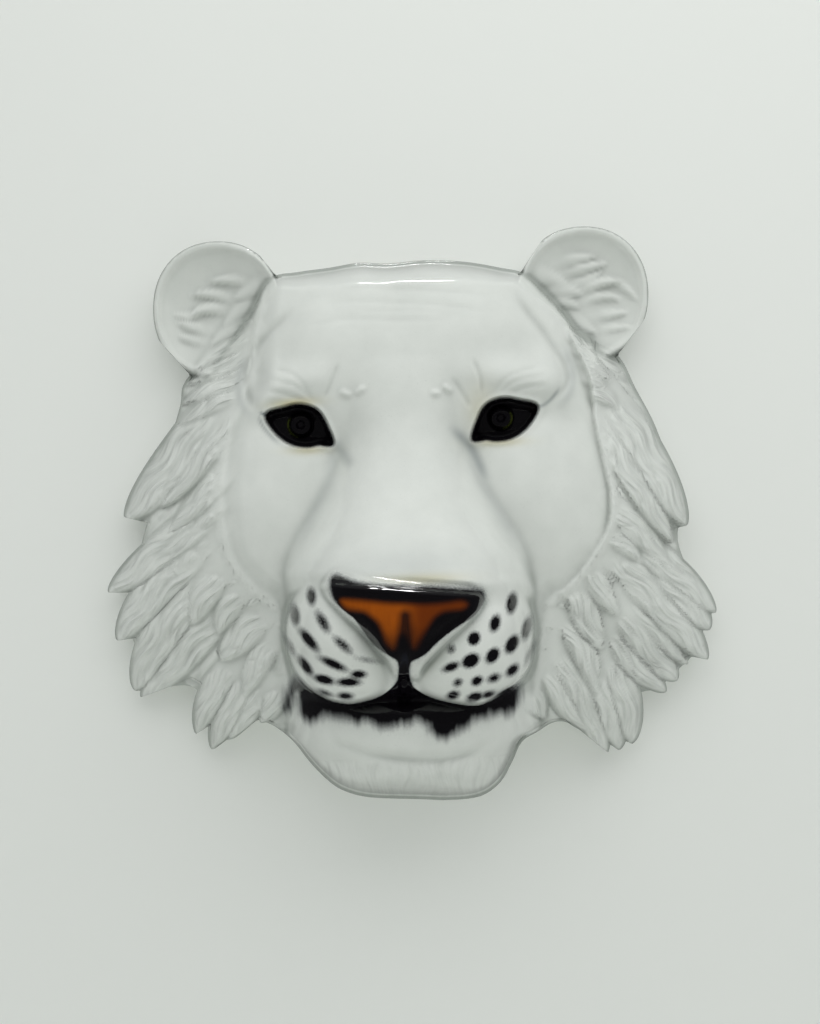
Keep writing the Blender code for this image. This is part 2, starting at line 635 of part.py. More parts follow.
cut(mask, hollow, "DIFFERENCE")
cut(mask, shelf, "UNION")
cut(mask, hook_hole, "DIFFERENCE")

glaze = bpy.data.materials.new("white_glaze")
glaze.use_nodes = True
surface = glaze.node_tree.nodes["Principled BSDF"]
surface.inputs["Base Color"].default_value = (0.72, 0.75, 0.72, 1.0)
surface.inputs["Roughness"].default_value = 0.12
surface.inputs["IOR"].default_value = 1.5
mask.data.materials.append(glaze)
for polygon in mask.data.polygons:
    polygon.use_smooth = True
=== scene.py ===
"""Wall mask in the form of a big cat's head: glazed earthenware, slip cast in one piece, airbrushed and
glazed to a high gloss, open at the back and hung from a shelf inside its top edge.

The form is worked out in millimetres on a layout: x to the right and y up on the plane of the wall, and
depth off the wall, all as seen from VIEW_MM in front. Depth draws each point in towards the view's axis.
"""

import bpy
import numpy as np
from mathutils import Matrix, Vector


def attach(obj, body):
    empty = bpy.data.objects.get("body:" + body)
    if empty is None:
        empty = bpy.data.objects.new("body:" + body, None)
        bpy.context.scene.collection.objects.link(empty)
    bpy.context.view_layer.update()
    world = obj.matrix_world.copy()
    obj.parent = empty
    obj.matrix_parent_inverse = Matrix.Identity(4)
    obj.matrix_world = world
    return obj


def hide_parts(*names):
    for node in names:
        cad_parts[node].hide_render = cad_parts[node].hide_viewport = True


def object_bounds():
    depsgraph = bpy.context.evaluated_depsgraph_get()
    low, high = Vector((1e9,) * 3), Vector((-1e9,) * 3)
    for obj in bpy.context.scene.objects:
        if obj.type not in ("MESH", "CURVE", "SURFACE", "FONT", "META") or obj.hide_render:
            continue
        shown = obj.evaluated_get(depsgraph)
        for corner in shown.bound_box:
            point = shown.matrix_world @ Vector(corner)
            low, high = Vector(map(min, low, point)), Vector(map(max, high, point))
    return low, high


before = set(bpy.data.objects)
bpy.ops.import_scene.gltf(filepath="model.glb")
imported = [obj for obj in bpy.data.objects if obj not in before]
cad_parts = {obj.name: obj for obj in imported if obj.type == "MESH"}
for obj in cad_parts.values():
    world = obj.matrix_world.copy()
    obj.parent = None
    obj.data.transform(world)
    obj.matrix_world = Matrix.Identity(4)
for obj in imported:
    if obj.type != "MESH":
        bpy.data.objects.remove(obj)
cad_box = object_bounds()


# ----------------------------------------------------------------------------------------------------
# The layout
# A square field of points over the whole head, on which the form is carved before it is cast.
VIEW_MM = 1150.0
VIEW_AXIS = (5.0, -78.5)
HANG_AT = (0.0, 112.0)
STEP = 1.0
FIELD_X = (-300.0, 306.0)
FIELD_Y = (-364.0, 196.0)
across, up = np.meshgrid(np.arange(*FIELD_X, STEP), np.arange(*FIELD_Y, STEP), indexing="ij")


def ease(t):
    """0 to 1 with level ends: three t squared less two t cubed."""
    t = np.clip(t, 0.0, 1.0)
    return t * t * (3 - 2 * t)


def blend_max(a, b, k):
    """The higher of two surfaces, with a fillet k high where they meet."""
    h = np.clip(0.5 + 0.5 * (a - b) / k, 0, 1)
    return b + (a - b) * h + k * h * (1 - h)


def blend_min(a, b, k):
    """The lower of two surfaces, with a fillet: the higher of their negatives, turned back."""
    return -blend_max(-a, -b, k)


def through(points, steps, closed=False):
    """A smooth line through points: a cubic between each pair, its slopes from the neighbours."""
    p = np.asarray(points, float)
    if closed:
        q = np.vstack([p[-1], p, p[0], p[1]])
    else:
        q = np.vstack([2 * p[0] - p[1], p, 2 * p[-1] - p[-2]])
    t = np.linspace(0, 1, steps, endpoint=False)[:, None]
    runs = []
    for i in range(1, len(q) - 2):
        a, b, c, d = q[i - 1], q[i], q[i + 1], q[i + 2]
        cubic = 3 * b - a - 3 * c + d
        square = 2 * a - 5 * b + 4 * c - d
        runs.append(0.5 * (2 * b + (c - a) * t + square * t**2 + cubic * t**3))
    line = np.vstack(runs)
    return line if closed else np.vstack([line, p[-1]])


def profile(at, stations):
    """A smooth profile through (position, value) stations that never overshoots them: a cubic between
    each two, level at every high and low, its other slopes the harmonic mean of the neighbours'."""
    k, v = np.array(sorted(stations), float).T
    gap = np.diff(k)
    rate = np.diff(v) / gap
    slope = np.zeros(len(k))
    same = rate[:-1] * rate[1:] > 0
    slope[1:-1][same] = 2 / (1 / rate[:-1][same] + 1 / rate[1:][same])
    slope[0] = rate[0]
    slope[-1] = rate[-1]
    at = np.clip(at, k[0], k[-1])
    i = np.clip(np.searchsorted(k, at) - 1, 0, len(gap) - 1)
    t = (at - k[i]) / gap[i]
    rising = t * t * (3 - 2 * t)
    leaving = t * (1 - t) ** 2 * gap[i] * slope[i]
    arriving = t * t * (t - 1) * gap[i] * slope[i + 1]
    return (1 - rising) * v[i] + rising * v[i + 1] + leaving + arriving


def along(x, y, line):
    """Distance to an open line, the share of the way along it, and the distance with its side's sign:
    the nearest of the points dropped square onto each stretch."""
    seg = np.diff(line, axis=0)
    length = np.hypot(seg[:, 0], seg[:, 1])
    start = np.concatenate([[0], np.cumsum(length)])
    best = np.full(x.shape, 1e9)
    share = np.zeros(x.shape)
    side = np.zeros(x.shape)
    for (ax, ay), (sx, sy), ln, st in zip(line[:-1], seg, length, start):
        px = x - ax
        py = y - ay
        t = np.clip((px * sx + py * sy) / (ln * ln), 0, 1)
        d = np.hypot(px - t * sx, py - t * sy)
        near = d < best
        best = np.where(near, d, best)
        share = np.where(near, (st + t * ln) / start[-1], share)
        side = np.where(near, np.sign(sx * py - sy * px) * d, side)
    return best, share, side


def within(x, y, loop):
    """Distance inside a closed line, negative outside it: the nearest stretch, and the side from how
    many stretches a ray to the right crosses."""
    ends = np.roll(loop, -1, axis=0)
    best = np.full(x.shape, 1e18)
    odd = np.zeros(x.shape, bool)
    for (ax, ay), (bx, by) in zip(loop, ends):
        sx = bx - ax
        sy = by - ay
        px = x - ax
        py = y - ay
        t = np.clip((px * sx + py * sy) / (sx * sx + sy * sy + 1e-12), 0, 1)
        best = np.minimum(best, (px - t * sx) ** 2 + (py - t * sy) ** 2)
        if by != ay:
            odd ^= ((ay > y) != (by > y)) & (x < ax + (y - ay) * (bx - ax) / (by - ay))
    return np.where(odd, 1, -1) * np.sqrt(best)


def patch(points, margin):
    """The part of the field that lies round some points, as a pair of slices."""
    low = np.min(points, axis=0) - margin
    high = np.max(points, axis=0) + margin
    i = np.clip((np.array([low[0], high[0]]) - FIELD_X[0]) / STEP, 0, across.shape[0]).astype(int)
    j = np.clip((np.array([low[1], high[1]]) - FIELD_Y[0]) / STEP, 0, across.shape[1]).astype(int)
    return np.s_[i[0] : i[1], j[0] : j[1]]


# ----------------------------------------------------------------------------------------------------
# The head under its hair
# Smooth clay: a broad forehead and cheeks, a wedge-shaped snout, two muzzle pads, the bare nose and the
# chin, each worked out as a height over the wall and run together with soft fillets.
HEAD_OUTLINE = [
    (-60, 139), (-34, 142.5), (-8, 141), (25, 143), (60, 140.5), (92, 134), (112, 128), (134, 105),
    (160, 76), (192, 54), (207, 24), (221, -4), (230, -28), (242, -56), (245, -84), (240, -112),
    (252, -150), (258, -185), (250, -214), (226, -232), (204, -238), (184, -262), (158, -270),
    (128, -269), (112, -277), (97, -286), (88, -303), (77, -321), (59, -333), (32, -335.5), (6, -334),
    (-38, -331), (-60, -325), (-74, -316), (-90, -299), (-104, -280), (-117, -268), (-131, -260),
    (-160, -246), (-190, -224), (-222, -205), (-243, -186), (-246, -150), (-238, -118), (-229, -86),
    (-217, -50), (-205, -10), (-195, 22), (-190, 43), (-160, 72), (-132, 102), (-112, 131), (-88, 136),
]
FACE_OUTLINE = [
    (-108, 140), (-126, 94), (-132, 51), (-143, 20), (-153, -10), (-160, -45), (-161, -80),
    (-153, -116), (-134, -141), (-117, -156), (-112, -190), (-108, -235), (-100, -262), (-100, -300),
    (-70, -350), (70, -350), (98, -300), (104, -266), (112, -235), (116, -200), (126, -160),
    (140, -151), (162, -126), (178, -100), (182, -73), (176, -38), (170, -3), (167, 33), (155, 64),
    (142, 95), (120, 140), (60, 175), (-60, 175),
]
RIM_DEPTH = 13.0
# heights of the snout's turn, of the muzzle's end and of the lip, and a depth that stands for no clay
SNOUT_TURN_Y = -137.0
MUZZLE_END_Y = -262.0
LIP_Y = -215.0
NO_CLAY = -60.0
# each half of the muzzle: its middle, and its outline from the outer side down to the lip and round
PADS = [
    ((-56.0, -192.0), [(-109, -190), (-107, -203), (-100.5, -219), (-90, -232), (-79, -240),
                       (-68.5, -245), (-53, -247.5), (-35.5, -244.5), (-24.5, -240), (-15, -232.5),
                       (-10.5, -226), (-9.5, -217), (-6, -205), (-1, -190), (-8, -155), (-28, -130),
                       (-56, -118), (-84, -128), (-101, -150), (-108, -172)]),
    ((54.0, -200.0), [(110.5, -197), (107.5, -216.5), (98, -231), (86, -240), (70, -249),
                      (57, -252.5), (39, -250), (19.5, -244.5), (6.5, -237), (0.5, -230.5),
                      (-0.5, -222), (-1, -210), (0, -190), (8, -160), (28, -136), (58, -126),
                      (88, -135), (105, -156), (111, -178)]),
]


def swell(x, y, cx, cy, rx, ry, turn=0.0):
    """A soft rise of height 1, turned by some degrees: e to minus the squared distance in radii."""
    c = np.cos(np.radians(turn))
    s = np.sin(np.radians(turn))
    dx = x - cx
    dy = y - cy
    return np.exp(-(((dx * c + dy * s) / rx) ** 2) - ((dy * c - dx * s) / ry) ** 2)


def skull(x, y, edge):
    """Forehead, brows, sockets and cheeks: a flattened arch from side to side under a profile from chin
    to crown, with soft swellings and hollows on it."""
    top = profile(y, [(-350, 96), (-300, 126), (-250, 128), (-200, 124), (-150, 122), (-100, 121),
                      (-50, 121), (0, 122), (40, 124), (70, 122), (100, 116), (125, 108), (160, 100)])
    half = profile(y, [(-350, 120), (-250, 125), (-200, 128), (-150, 148), (-110, 176), (-60, 180),
                       (0, 170), (50, 154), (100, 142), (140, 132)])
    s = np.clip(np.abs(x) / half, 0, 1)
    depth = edge + (top - edge) * (1 - s**2.4) ** 0.8
    for side in (-1, 1):
        depth = depth + 6 * swell(x, y, side * 70, 84, 46, 36, side * 15)
        depth = depth + 9 * swell(x, y, side * 98, 38, 38, 16, side * -10)
        depth = depth + 8 * swell(x, y, side * 130, 34, 17, 24, side * 10)
        depth = depth - 9 * swell(x, y, side * 92, 0, 32, 15, side * 6)
        depth = depth - 7 * swell(x, y, side * 60, -24, 11, 20, side * 24)
        depth = depth + 9 * swell(x, y, side * 122, -70, 40, 52, side * 12)
        depth = depth - 4 * swell(x, y, side * 142, 4, 14, 22, side * 30)
    depth = depth - 3 * swell(x, y, 0, 112, 14, 40)
    return depth + 4 * swell(x, y, 0, 34, 34, 26)


def snout(x, y):
    """The bridge of the nose, widening into the top of the muzzle: a squared arch across, under a ridge
    that climbs from the brow to the nose and turns down in front of it."""
    foot = 62.0
    ridge = profile(y, [(-160, 230), (-145, 225), (-136, 217.5), (-120, 205), (-90, 181), (-60, 160),
                        (-30, 142), (0, 129), (25, 120), (50, 108), (75, 80)])
    half = profile(y, [(-200, 118), (-160, 118), (-138, 116), (-120, 112), (-60, 80), (-20, 58),
                       (0, 54), (40, 60)])
    fullness = profile(y, [(-120, 0.62), (0, 0.85)])
    t = np.clip(np.abs(x) / half, 0, 1)
    depth = foot + (ridge - foot) * (1 - t**2.9) ** fullness
    turn = 13 + 26 * ease((np.abs(x) - 52) / 22)
    depth = np.where((y < 74) & (t < 1), depth, NO_CLAY) - 42 * ease((SNOUT_TURN_Y - y - 0.1 * x) / turn)
    lower = profile(y, [(MUZZLE_END_Y, 0.3), (-250, 0.6), (-235, 0.9), (-215, 1.0)])
    depth = foot + (depth - foot) * np.where(y < SNOUT_TURN_Y, lower, 1)
    return np.where(y < MUZZLE_END_Y, NO_CLAY, depth)


def pad_place(x, y, pad):
    """Where a point lies on one half of the muzzle: 0 at its middle and 1 at its outline, by a power of
    the distance from the middle over the outline's in that direction. And how far up it lies."""
    (cx, cy), line = pad
    rim = through(line, 6, closed=True) - (cx, cy)
    turn = np.arctan2(rim[:, 1], rim[:, 0])
    order = np.argsort(turn)
    reach = np.interp(np.arctan2(y - cy, x - cx), turn[order], np.hypot(*rim[order].T), period=2 * np.pi)
    return (np.hypot(x - cx, y - cy) / reach) ** 2.3, y - cy


def nose(x, y):
    """The bare tip of the nose, wide above and pointed below: a profile down its front, with a bead near
    its top, arched a little across and falling away past its half width."""
    dx = x + 2.5
    yn = y + 0.105 * dx
    front = profile(yn, [(-230, 190), (-214, 207), (-205, 216), (-190, 226), (-175, 231), (-160, 232),
                         (-150, 229), (-143, 222.5), (-136, 210), (-125, 190)])
    front = front + 2.6 * np.exp(-(((yn + 150.6) / 2.4) ** 2))
    half = profile(yn, [(-230, 4), (-216, 9), (-206, 17), (-190, 32), (-172, 52), (-160, 63),
                        (-150, 66), (-140, 64), (-130, 56)])
    past = np.clip((np.abs(dx) - half) / 6, 0, None)
    depth = front - 20 * (dx / 66) ** 4 - 14 * past**1.5
    return np.where((yn < -122) & (yn > -226), depth, 0)


def jaw(x, y):
    """The lower lip and the chin: a squared arch across under the chin's profile."""
    front = profile(y, [(-345, 90), (-334, 116), (-325, 134), (-312, 146), (-299, 150), (-288, 158),
                        (-272, 162), (-258, 160), (-245, 154), (-220, 144)])
    half = profile(y, [(-345, 80), (-330, 88), (-300, 104), (-270, 114), (-230, 120)])
    s = np.clip(np.abs(x - 2) / half, 0, 1)
    depth = 45 + (front - 45) * (1 - s**2.6) ** 0.6
    return np.where((y < LIP_Y) & (s < 1), depth, NO_CLAY)


def rounded_edge(y, inside, depth):
    """The turn of the crown and the chin towards the wall: no higher than a quarter round."""
    low = profile(y, [(-340, 46), (-320, 44), (-285, 42), (-270, 50), (-255, 200), (30, 200),
                      (52, 44), (75, 40), (110, 40), (142, 42)])
    radius = profile(y, [(-340, 30), (-300, 30), (-262, 20), (-240, 8), (0, 8), (75, 20),
                         (110, 36), (142, 50)])
    rise = profile(y, [(-340, 110), (-285, 110), (-262, 120), (-240, 160), (0, 160), (75, 96), (142, 78)])
    u = np.clip(inside / radius, 0, 1)
    turned = low + rise * np.sqrt(1 - (1 - u) ** 2)
    return np.where(u < 1, blend_min(depth, turned, 3), depth)


in_head = within(across, up, through(HEAD_OUTLINE, 4, closed=True))
in_face = within(across, up, through(FACE_OUTLINE, 4, closed=True))
edge = profile(up, [(-350, 70), (-280, 76), (-240, 84), (-200, 90), (-100, 92), (0, 86), (60, 84),
                    (140, 80)])
seam = edge + 8
spread = profile(up, [(-300, 38), (-240, 36), (-200, 28), (-60, 26), (10, 12), (50, 0)])
spread = spread * ease((np.abs(across - 2) - 98) / 30)
to_rim = np.clip(in_head + spread, 0, None)
share_in = to_rim / (to_rim + np.clip(-in_face, 0, None) + 1e-6)
ruff = RIM_DEPTH + (seam - RIM_DEPTH) * share_in**0.9
face = blend_min(skull(across, up, edge), seam + 50 * ease(in_face / 40), 8)
fillet = 10 + 22 * ease((up + 150) / 50)
depth = blend_max(np.where(in_face > 0, face, ruff), snout(across, up), fillet)
for pad in PADS:
    out, py = pad_place(across, up, pad)
    base = 92 + 68 * ease((-up - 200) / 40)
    lobe = np.where(out < 1, base + (210 - base) * np.clip(1 - out, 0, None) ** 0.46, 0)
    depth = blend_max(depth, lobe, 3 + 18 * ease((py + 8) / 40))
depth = blend_max(depth, nose(across, up), 4)
depth = np.where(up < LIP_Y, blend_max(depth, jaw(across, up), 4), depth)
depth = rounded_edge(up, in_head, depth)


# ----------------------------------------------------------------------------------------------------
# Eyes, folds and wrinkles
# Almond eyes sunk under modelled lids, a deep fold beside each brow, and lines pressed into the soft
# clay with a rounded tool.
EYE_OUTLINE = [
    (62.5, -17), (67, -2), (75, 12), (89, 17.5), (104, 15.2), (119, 10), (111, -5), (98, -15),
    (84, -18), (74, -16.5),
]
# line, half width and depth
FOLDS = [
    ([(-90, 106), (-113, 84), (-130, 64), (-137, 40), (-132, 21), (-121, 7)], 4.0, 4.0),
    ([(100, 120), (110, 99), (131, 70), (146, 43), (143, 25), (121, 9)], 4.0, 4.0),
    ([(-118, 52), (-96, 46), (-77, 24)], 1.5, 1.5),
    ([(-121, 42), (-95, 36), (-74, 20)], 1.5, 1.6),
    ([(-125, 32), (-101, 28), (-75, 16)], 1.6, 1.9),
    ([(-54, 56), (-61, 38), (-69, 21)], 1.7, 1.8),
    ([(128, 47), (98, 39), (78, 22)], 1.5, 1.5),
    ([(132, 38), (103, 34), (85, 23)], 1.5, 1.6),
    ([(132, 29), (111, 28), (93, 22)], 1.5, 1.7),
    ([(63, 57), (70, 38), (71, 20)], 1.7, 1.8),
    ([(45, 40), (55, 22), (62, 9)], 1.8, 1.6),
    ([(-54, 30), (-49, 27), (-44, 25)], 2.0, -3.4),
    ([(-40, 26), (-36, 30), (-32, 33)], 2.0, -3.4),
    ([(26, 26), (31, 25), (35, 26)], 2.0, -3.4),
    ([(37, 32), (41, 29), (45, 25)], 2.0, -3.4),
    ([(-88, 120), (-25, 120), (43, 115), (94, 108)], 2.2, 0.8),
    ([(-72, 105), (-42, 109), (3, 106), (47, 102), (93, 92)], 1.8, 0.8),
    ([(-89, 87), (-48, 93), (2, 91), (49, 90)], 2.0, 0.7),
    ([(-40, 99), (0, 100), (40, 97)], 1.4, 0.5),
    ([(-80, -263), (-63, -284), (-11, -298), (33, -300), (69, -286), (78, -273)], 4.0, 3.2),
    ([(-104, -246), (-107, -262), (-116, -276)], 2.4, 1.8),
    ([(-92, -252), (-99, -270), (-108, -286)], 2.2, 2.0),
    ([(-84, -256), (-90, -274), (-96, -290)], 1.8, 1.4),
    ([(86, -256), (93, -270), (98, -288)], 2.2, 1.8),
    ([(98, -248), (106, -258), (112, -266)], 2.2, 1.6),
]
# short hair pressed into the chin's lower edge
FOLDS += [([(k, -301 - 3 * np.sin(k)), (0.97 * k, -312), (0.93 * k, -326 + 3 * np.sin(2 * k))], 1.7, 1.3)
          for k in (-78, -66, -57, -47, -40, -30, -22, -13, -3, 6, 13, 24, 32, 43, 50, 59, 68)]
# each raised iris: centre and radius
IRISES = [(-89.5, 0.7, 11.8), (87.4, 1.3, 10.4)]
EYES = [through([(side * ex, ey) for ex, ey in EYE_OUTLINE], 5, closed=True) for side in (-1, 1)]

for side, rim, (cx, cy, radius) in zip((-1, 1), EYES, IRISES):
    part = patch(rim, 14)
    x, y = across[part], up[part]
    in_eye = within(x, y, rim)
    ball = 103 - 4.5 * ((x - side * 90) / 28) ** 2 - 3.5 * (y / 17) ** 2
    middle = np.hypot(x - cx, y - cy)
    ball = ball + 1.4 * ease((radius - middle) / 3.0)
    lidded = depth[part] + 2.4 * np.exp(-(((in_eye + 2.6) / 2.4) ** 2))
    depth[part] = np.where(in_eye > 0, blend_min(lidded, ball, 1), lidded)



def carve(points, width, cut, fade_in, fade_out=None):
    """A groove along a line, bell-shaped across. It comes in over a share of the line's length, and goes
    out over another, or ends round."""
    line = through(points, 6)
    part = patch(line, 4 * width)
    d, s, _ = along(across[part], up[part], line)
    shown = ease(s / fade_in) if fade_out is None else ease(s / fade_in) * ease((1 - s) / fade_out)
    depth[part] -= cut * np.exp(-((d / width) ** 2)) * shown


for points, width, cut in FOLDS:
    carve(points, width, cut, 0.25, 0.25)


# ----------------------------------------------------------------------------------------------------
# The nostrils and the split of the lip
# Two comma-shaped hollows beside the nose pad and a groove down to the mouth, cut before firing.
NOSTRILS = [
    ([(-58, -163), (-46, -175), (-35, -189), (-23, -205)], 5.5, 6.0),
    ([(56, -172), (42, -178), (28, -188), (12, -203)], 5.5, 6.0),
]
LIP_SPLIT = [(-4.5, -200), (-5, -215), (-5.5, -232), (-6, -246)]

for points, width, cut in NOSTRILS:
    carve(points, width, cut, 0.3, 0.3)
carve(LIP_SPLIT, 5.0, 7.0, 0.4)


# ----------------------------------------------------------------------------------------------------
# The ears
# Round dished ears with a rolled lip, set behind the crown.
# centre, half width, half height and side
EARS = [(-159.5, 105.0, 57.0, 60.5, -1), (164.0, 109.0, 57.0, 59.5, 1)]

inside = in_head
for cx, cy, rx, ry, side in EARS:
    dx = (across - cx) / rx
    dy = (up - cy) / ry
    out = (np.abs(dx) ** 2.15 + np.abs(dy) ** 2.15) ** (1 / 2.15)
    lip = 44 - 12 * side * dx + 3 * dy
    bowl = lip - 17 * np.clip(1 - (out / 0.94) ** 2, 0, None) ** 0.8
    roll = 0.7 * np.clip(1 - ((out - 0.94) / 0.08) ** 2, 0, None)
    dished = np.where(out < 0.94, bowl, lip) + roll - 4 * ease((out - 0.95) / 0.06)
    behind = np.where(inside > 0, depth, -1e3)
    depth = np.where(out < 1, blend_max(behind, dished, 3), depth)
    inside = np.maximum(inside, (1 - out) * rx)


# ----------------------------------------------------------------------------------------------------
# The ruff
# Overlapping locks of hair, modelled one by one over the clay: each a tapering lobe with a few strands
# combed along it. Finer tufts stand at the cheeks, over the ears' feet and inside the ears.
# the point that all hair runs from, over the brows
WHORL_Y = 150.0
# root, bend, tip, half width and how far its tip stands out
LEFT_LOCKS = [
    ((-153, 38), (-193, -23), (-247, -79), 20, 7), ((-148, 25), (-181, -31), (-214, -68), 14, 7),
    ((-143, -19), (-173, -58), (-208, -90), 12, 6), ((-147, -50), (-169, -74), (-197, -98), 9, 4),
    ((-160, -65), (-209, -101), (-264, -143), 16, 7), ((-164, -85), (-230, -140), (-257, -186), 18, 7),
    ((-180, -97), (-196, -112), (-205, -131), 12, 5), ((-174, -121), (-221, -173), (-243, -230), 19, 6),
    ((-155, -156), (-207, -200), (-237, -240), 17, 6), ((-159, -125), (-183, -142), (-191, -173), 14, 6),
    ((-142, -143), (-162, -156), (-168, -182), 12, 5), ((-123, -164), (-145, -178), (-166, -205), 15, 6),
    ((-117, -187), (-137, -205), (-146, -238), 12, 6), ((-155, -206), (-179, -232), (-190, -271), 13, 7),
    ((-141, -217), (-162, -249), (-177, -284), 14, 7), ((-127, -225), (-139, -244), (-162, -276), 12, 6),
    ((-115, -229), (-123, -247), (-133, -262), 12, 6),
]
RIGHT_LOCKS = [
    ((178, 28), (216, -31), (248, -100), 17, 7), ((166, 15), (204, -52), (235, -113), 15, 7),
    ((178, -73), (207, -101), (234, -137), 12, 6), ((175, -106), (195, -109), (207, -131), 9, 5),
    ((198, -109), (237, -136), (272, -177), 14, 7), ((199, -129), (239, -149), (266, -192), 16, 6),
    ((174, -115), (222, -158), (263, -219), 17, 8), ((190, -157), (215, -192), (246, -222), 12, 4),
    ((163, -131), (169, -155), (186, -177), 11, 6), ((189, -164), (203, -200), (236, -236), 16, 6),
    ((180, -184), (194, -218), (226, -246), 14, 6), ((148, -146), (154, -173), (170, -206), 14, 6),
    ((175, -207), (193, -242), (194, -291), 15, 7), ((163, -214), (178, -258), (183, -296), 15, 7),
    ((131, -199), (153, -240), (171, -300), 15, 7), ((129, -177), (157, -190), (164, -247), 13, 6),
    ((122, -216), (133, -253), (159, -279), 13, 6), ((105, -235), (109, -252), (118, -267), 11, 6),
]
EAR_TUFTS = [
    ((-112, 129.5), (-125.7, 124.3), (-145, 113.7), 8, 4),
    ((-116.8, 119.5), (-136, 111), (-154.8, 90.4), 8, 4),
    ((-121.8, 104), (-144.6, 93.4), (-166.6, 74), 8, 4), ((-124.6, 87), (-150.7, 76.8), (-181.8, 52), 9, 4),
    ((-128.5, 70.5), (-156, 54.5), (-190, 39.8), 9, 4), ((-130, 57), (-157.5, 40), (-193, 23), 10, 4),
    ((-133.8, 42.6), (-160, 26.5), (-195.7, 5), 10, 4),
    ((-129, 126.6), (-143.3, 134.4), (-166, 130), 5, 5), ((-142, 113), (-166, 123), (-183, 118), 5, 5),
    ((-148, 102), (-170, 113), (-184, 99), 6, 6), ((-170, 104), (-185, 98), (-199.5, 102), 4, 3),
    ((-165, 86), (-181.7, 91), (-196, 95), 5, 4), ((-168, 76), (-182, 79), (-196.6, 82.7), 4, 4),
    ((138, 135.5), (153.5, 141.6), (176.4, 142.4), 5, 5), ((142.5, 125.8), (157, 133), (185, 135), 6, 6),
    ((147, 113), (168, 124), (181, 128.5), 5, 4), ((152.5, 108), (176, 124), (198, 118), 6, 6),
    ((183, 124), (200.5, 118), (211, 101.6), 4, 3), ((158, 100), (178, 112), (196, 103), 5, 4),
    ((168, 88), (187, 92), (202.5, 91.4), 5, 4), ((172, 76), (190, 80), (204, 78), 4, 3),
]


def softened(field, weight, reach_mm):
    """A field averaged over a bell-shaped patch, counting only the weighted points."""
    reach = int(np.ceil(3 * reach_mm / STEP))
    bell = np.exp(-0.5 * ((np.arange(-reach, reach + 1) * STEP / reach_mm) ** 2))
    sums = []
    for values in (field * weight, weight):
        for axis in (0, 1):
            values = np.apply_along_axis(np.convolve, axis, values, bell, mode="same")
        sums.append(values)
    return np.where(sums[1] > 1e-4, sums[0] / np.maximum(sums[1], 1e-4), field)


def measured(field, x, y):
    """Value of a field at any points of the layout, weighed between the four field points round each."""
    u = np.clip((x - FIELD_X[0]) / STEP, 0, field.shape[0] - 1.001)
    v = np.clip((y - FIELD_Y[0]) / STEP, 0, field.shape[1] - 1.001)
    i = u.astype(int)
    j = v.astype(int)
    near = field[i, j] * (1 - u + i) + field[i + 1, j] * (u - i)
    far = field[i, j + 1] * (1 - u + i) + field[i + 1, j + 1] * (u - i)
    return near * (1 - v + j) + far * (v - j)


def tufts(line, count, length, width, swing, curl, lift):
    """A row of overlapping tufts along a line: each sets off turned by a swing from the line's own
    direction and curls further on its way, and lengths and widths vary by slow sines."""
    pts = through(line, 8)
    seg = np.hypot(*np.diff(pts, axis=0).T)
    run = np.concatenate([[0], np.cumsum(seg)]) / seg.sum()
    made = []
    for i in range(count):
        s = i / (count - 1)
        ahead = min(s + 0.03, 1.0)
        x0, y0 = np.interp(ahead - 0.03, run, pts[:, 0]), np.interp(ahead - 0.03, run, pts[:, 1])
        x1, y1 = np.interp(ahead, run, pts[:, 0]), np.interp(ahead, run, pts[:, 1])
        x, y = np.interp(s, run, pts[:, 0]), np.interp(s, run, pts[:, 1])
        a = np.arctan2(y1 - y0, x1 - x0) + np.radians(swing)
        b = a + np.radians(curl)
        ln = length * (1 + 0.18 * np.sin(2.4 * i))
        mx = x + 0.55 * ln * np.cos(a)
        my = y + 0.55 * ln * np.sin(a)
        tip = (mx + 0.45 * ln * np.cos(b), my + 0.45 * ln * np.sin(b))
        made.append(((x, y), (mx, my), tip, width * (1 + 0.15 * np.sin(1.7 * i + 1)), lift))
    return made


def lock_line(lock):
    """A lock's middle line: a parabola from its root to its tip, drawn towards its bend."""
    t = np.linspace(0, 1, 14)[:, None]
    return np.array(lock[0]) * (1 - t) ** 2 + 2 * np.array(lock[1]) * t * (1 - t) + np.array(lock[2]) * t**2


def lock_of_hair(x, y, lock):
    """How far each point lies inside a lock, and the lock's height there. Its lower side is a steep
    round, and its upper side runs out softly under the next lock. Along, it grows from the root, and
    the width tapers to the tip, more sharply on a small lock."""
    root, _, tip, half, lift = lock
    d, s, side = along(x, y, lock_line(lock))
    small = np.clip((16 - half) / 5, 0, 1)
    taper = np.clip((s - 0.4) / 0.6, 0, 1) ** (2.5 - 0.8 * small)
    width = half * (0.7 + 0.3 * ease(s / 0.4)) * np.clip(1 - taper, 0, None) ** (0.6 + 0.2 * small) + 0.05
    n = np.clip(side / width, -3, 3) * (-1 if tip[0] > root[0] else 1)
    beyond = (s > 0.999) & (d > 0)
    covered = np.where(beyond, -d, width * (1 - np.abs(n)))
    steep = np.clip(1 - np.abs(n) ** 3.2, 0, None) ** 0.5
    crown = np.where(n > 0, steep, 0.3 * steep + 0.7 * ease(1 + n))
    height = lift * (0.25 + 0.75 * ease(s / 0.7)) * crown * ease(s / 0.4)
    return covered, np.where(beyond, 0, height)


cheek_tufts = tufts([(-153, -10), (-160, -45), (-161, -80), (-153, -116), (-134, -141), (-118, -155)],
                    24, 13, 3.0, -38, 20, 1.6)
cheek_tufts += tufts([(170, -3), (176, -38), (182, -73), (176, -102), (160, -128), (139, -151),
                      (126, -160)], 24, 13, 3.0, 38, -20, 1.6)
ear_fringe = tufts([(112, 128), (134, 100), (146, 66), (158, 30)], 9, 40, 8, 48, -25, 4)
all_locks = LEFT_LOCKS + RIGHT_LOCKS + EAR_TUFTS + ear_fringe + cheek_tufts

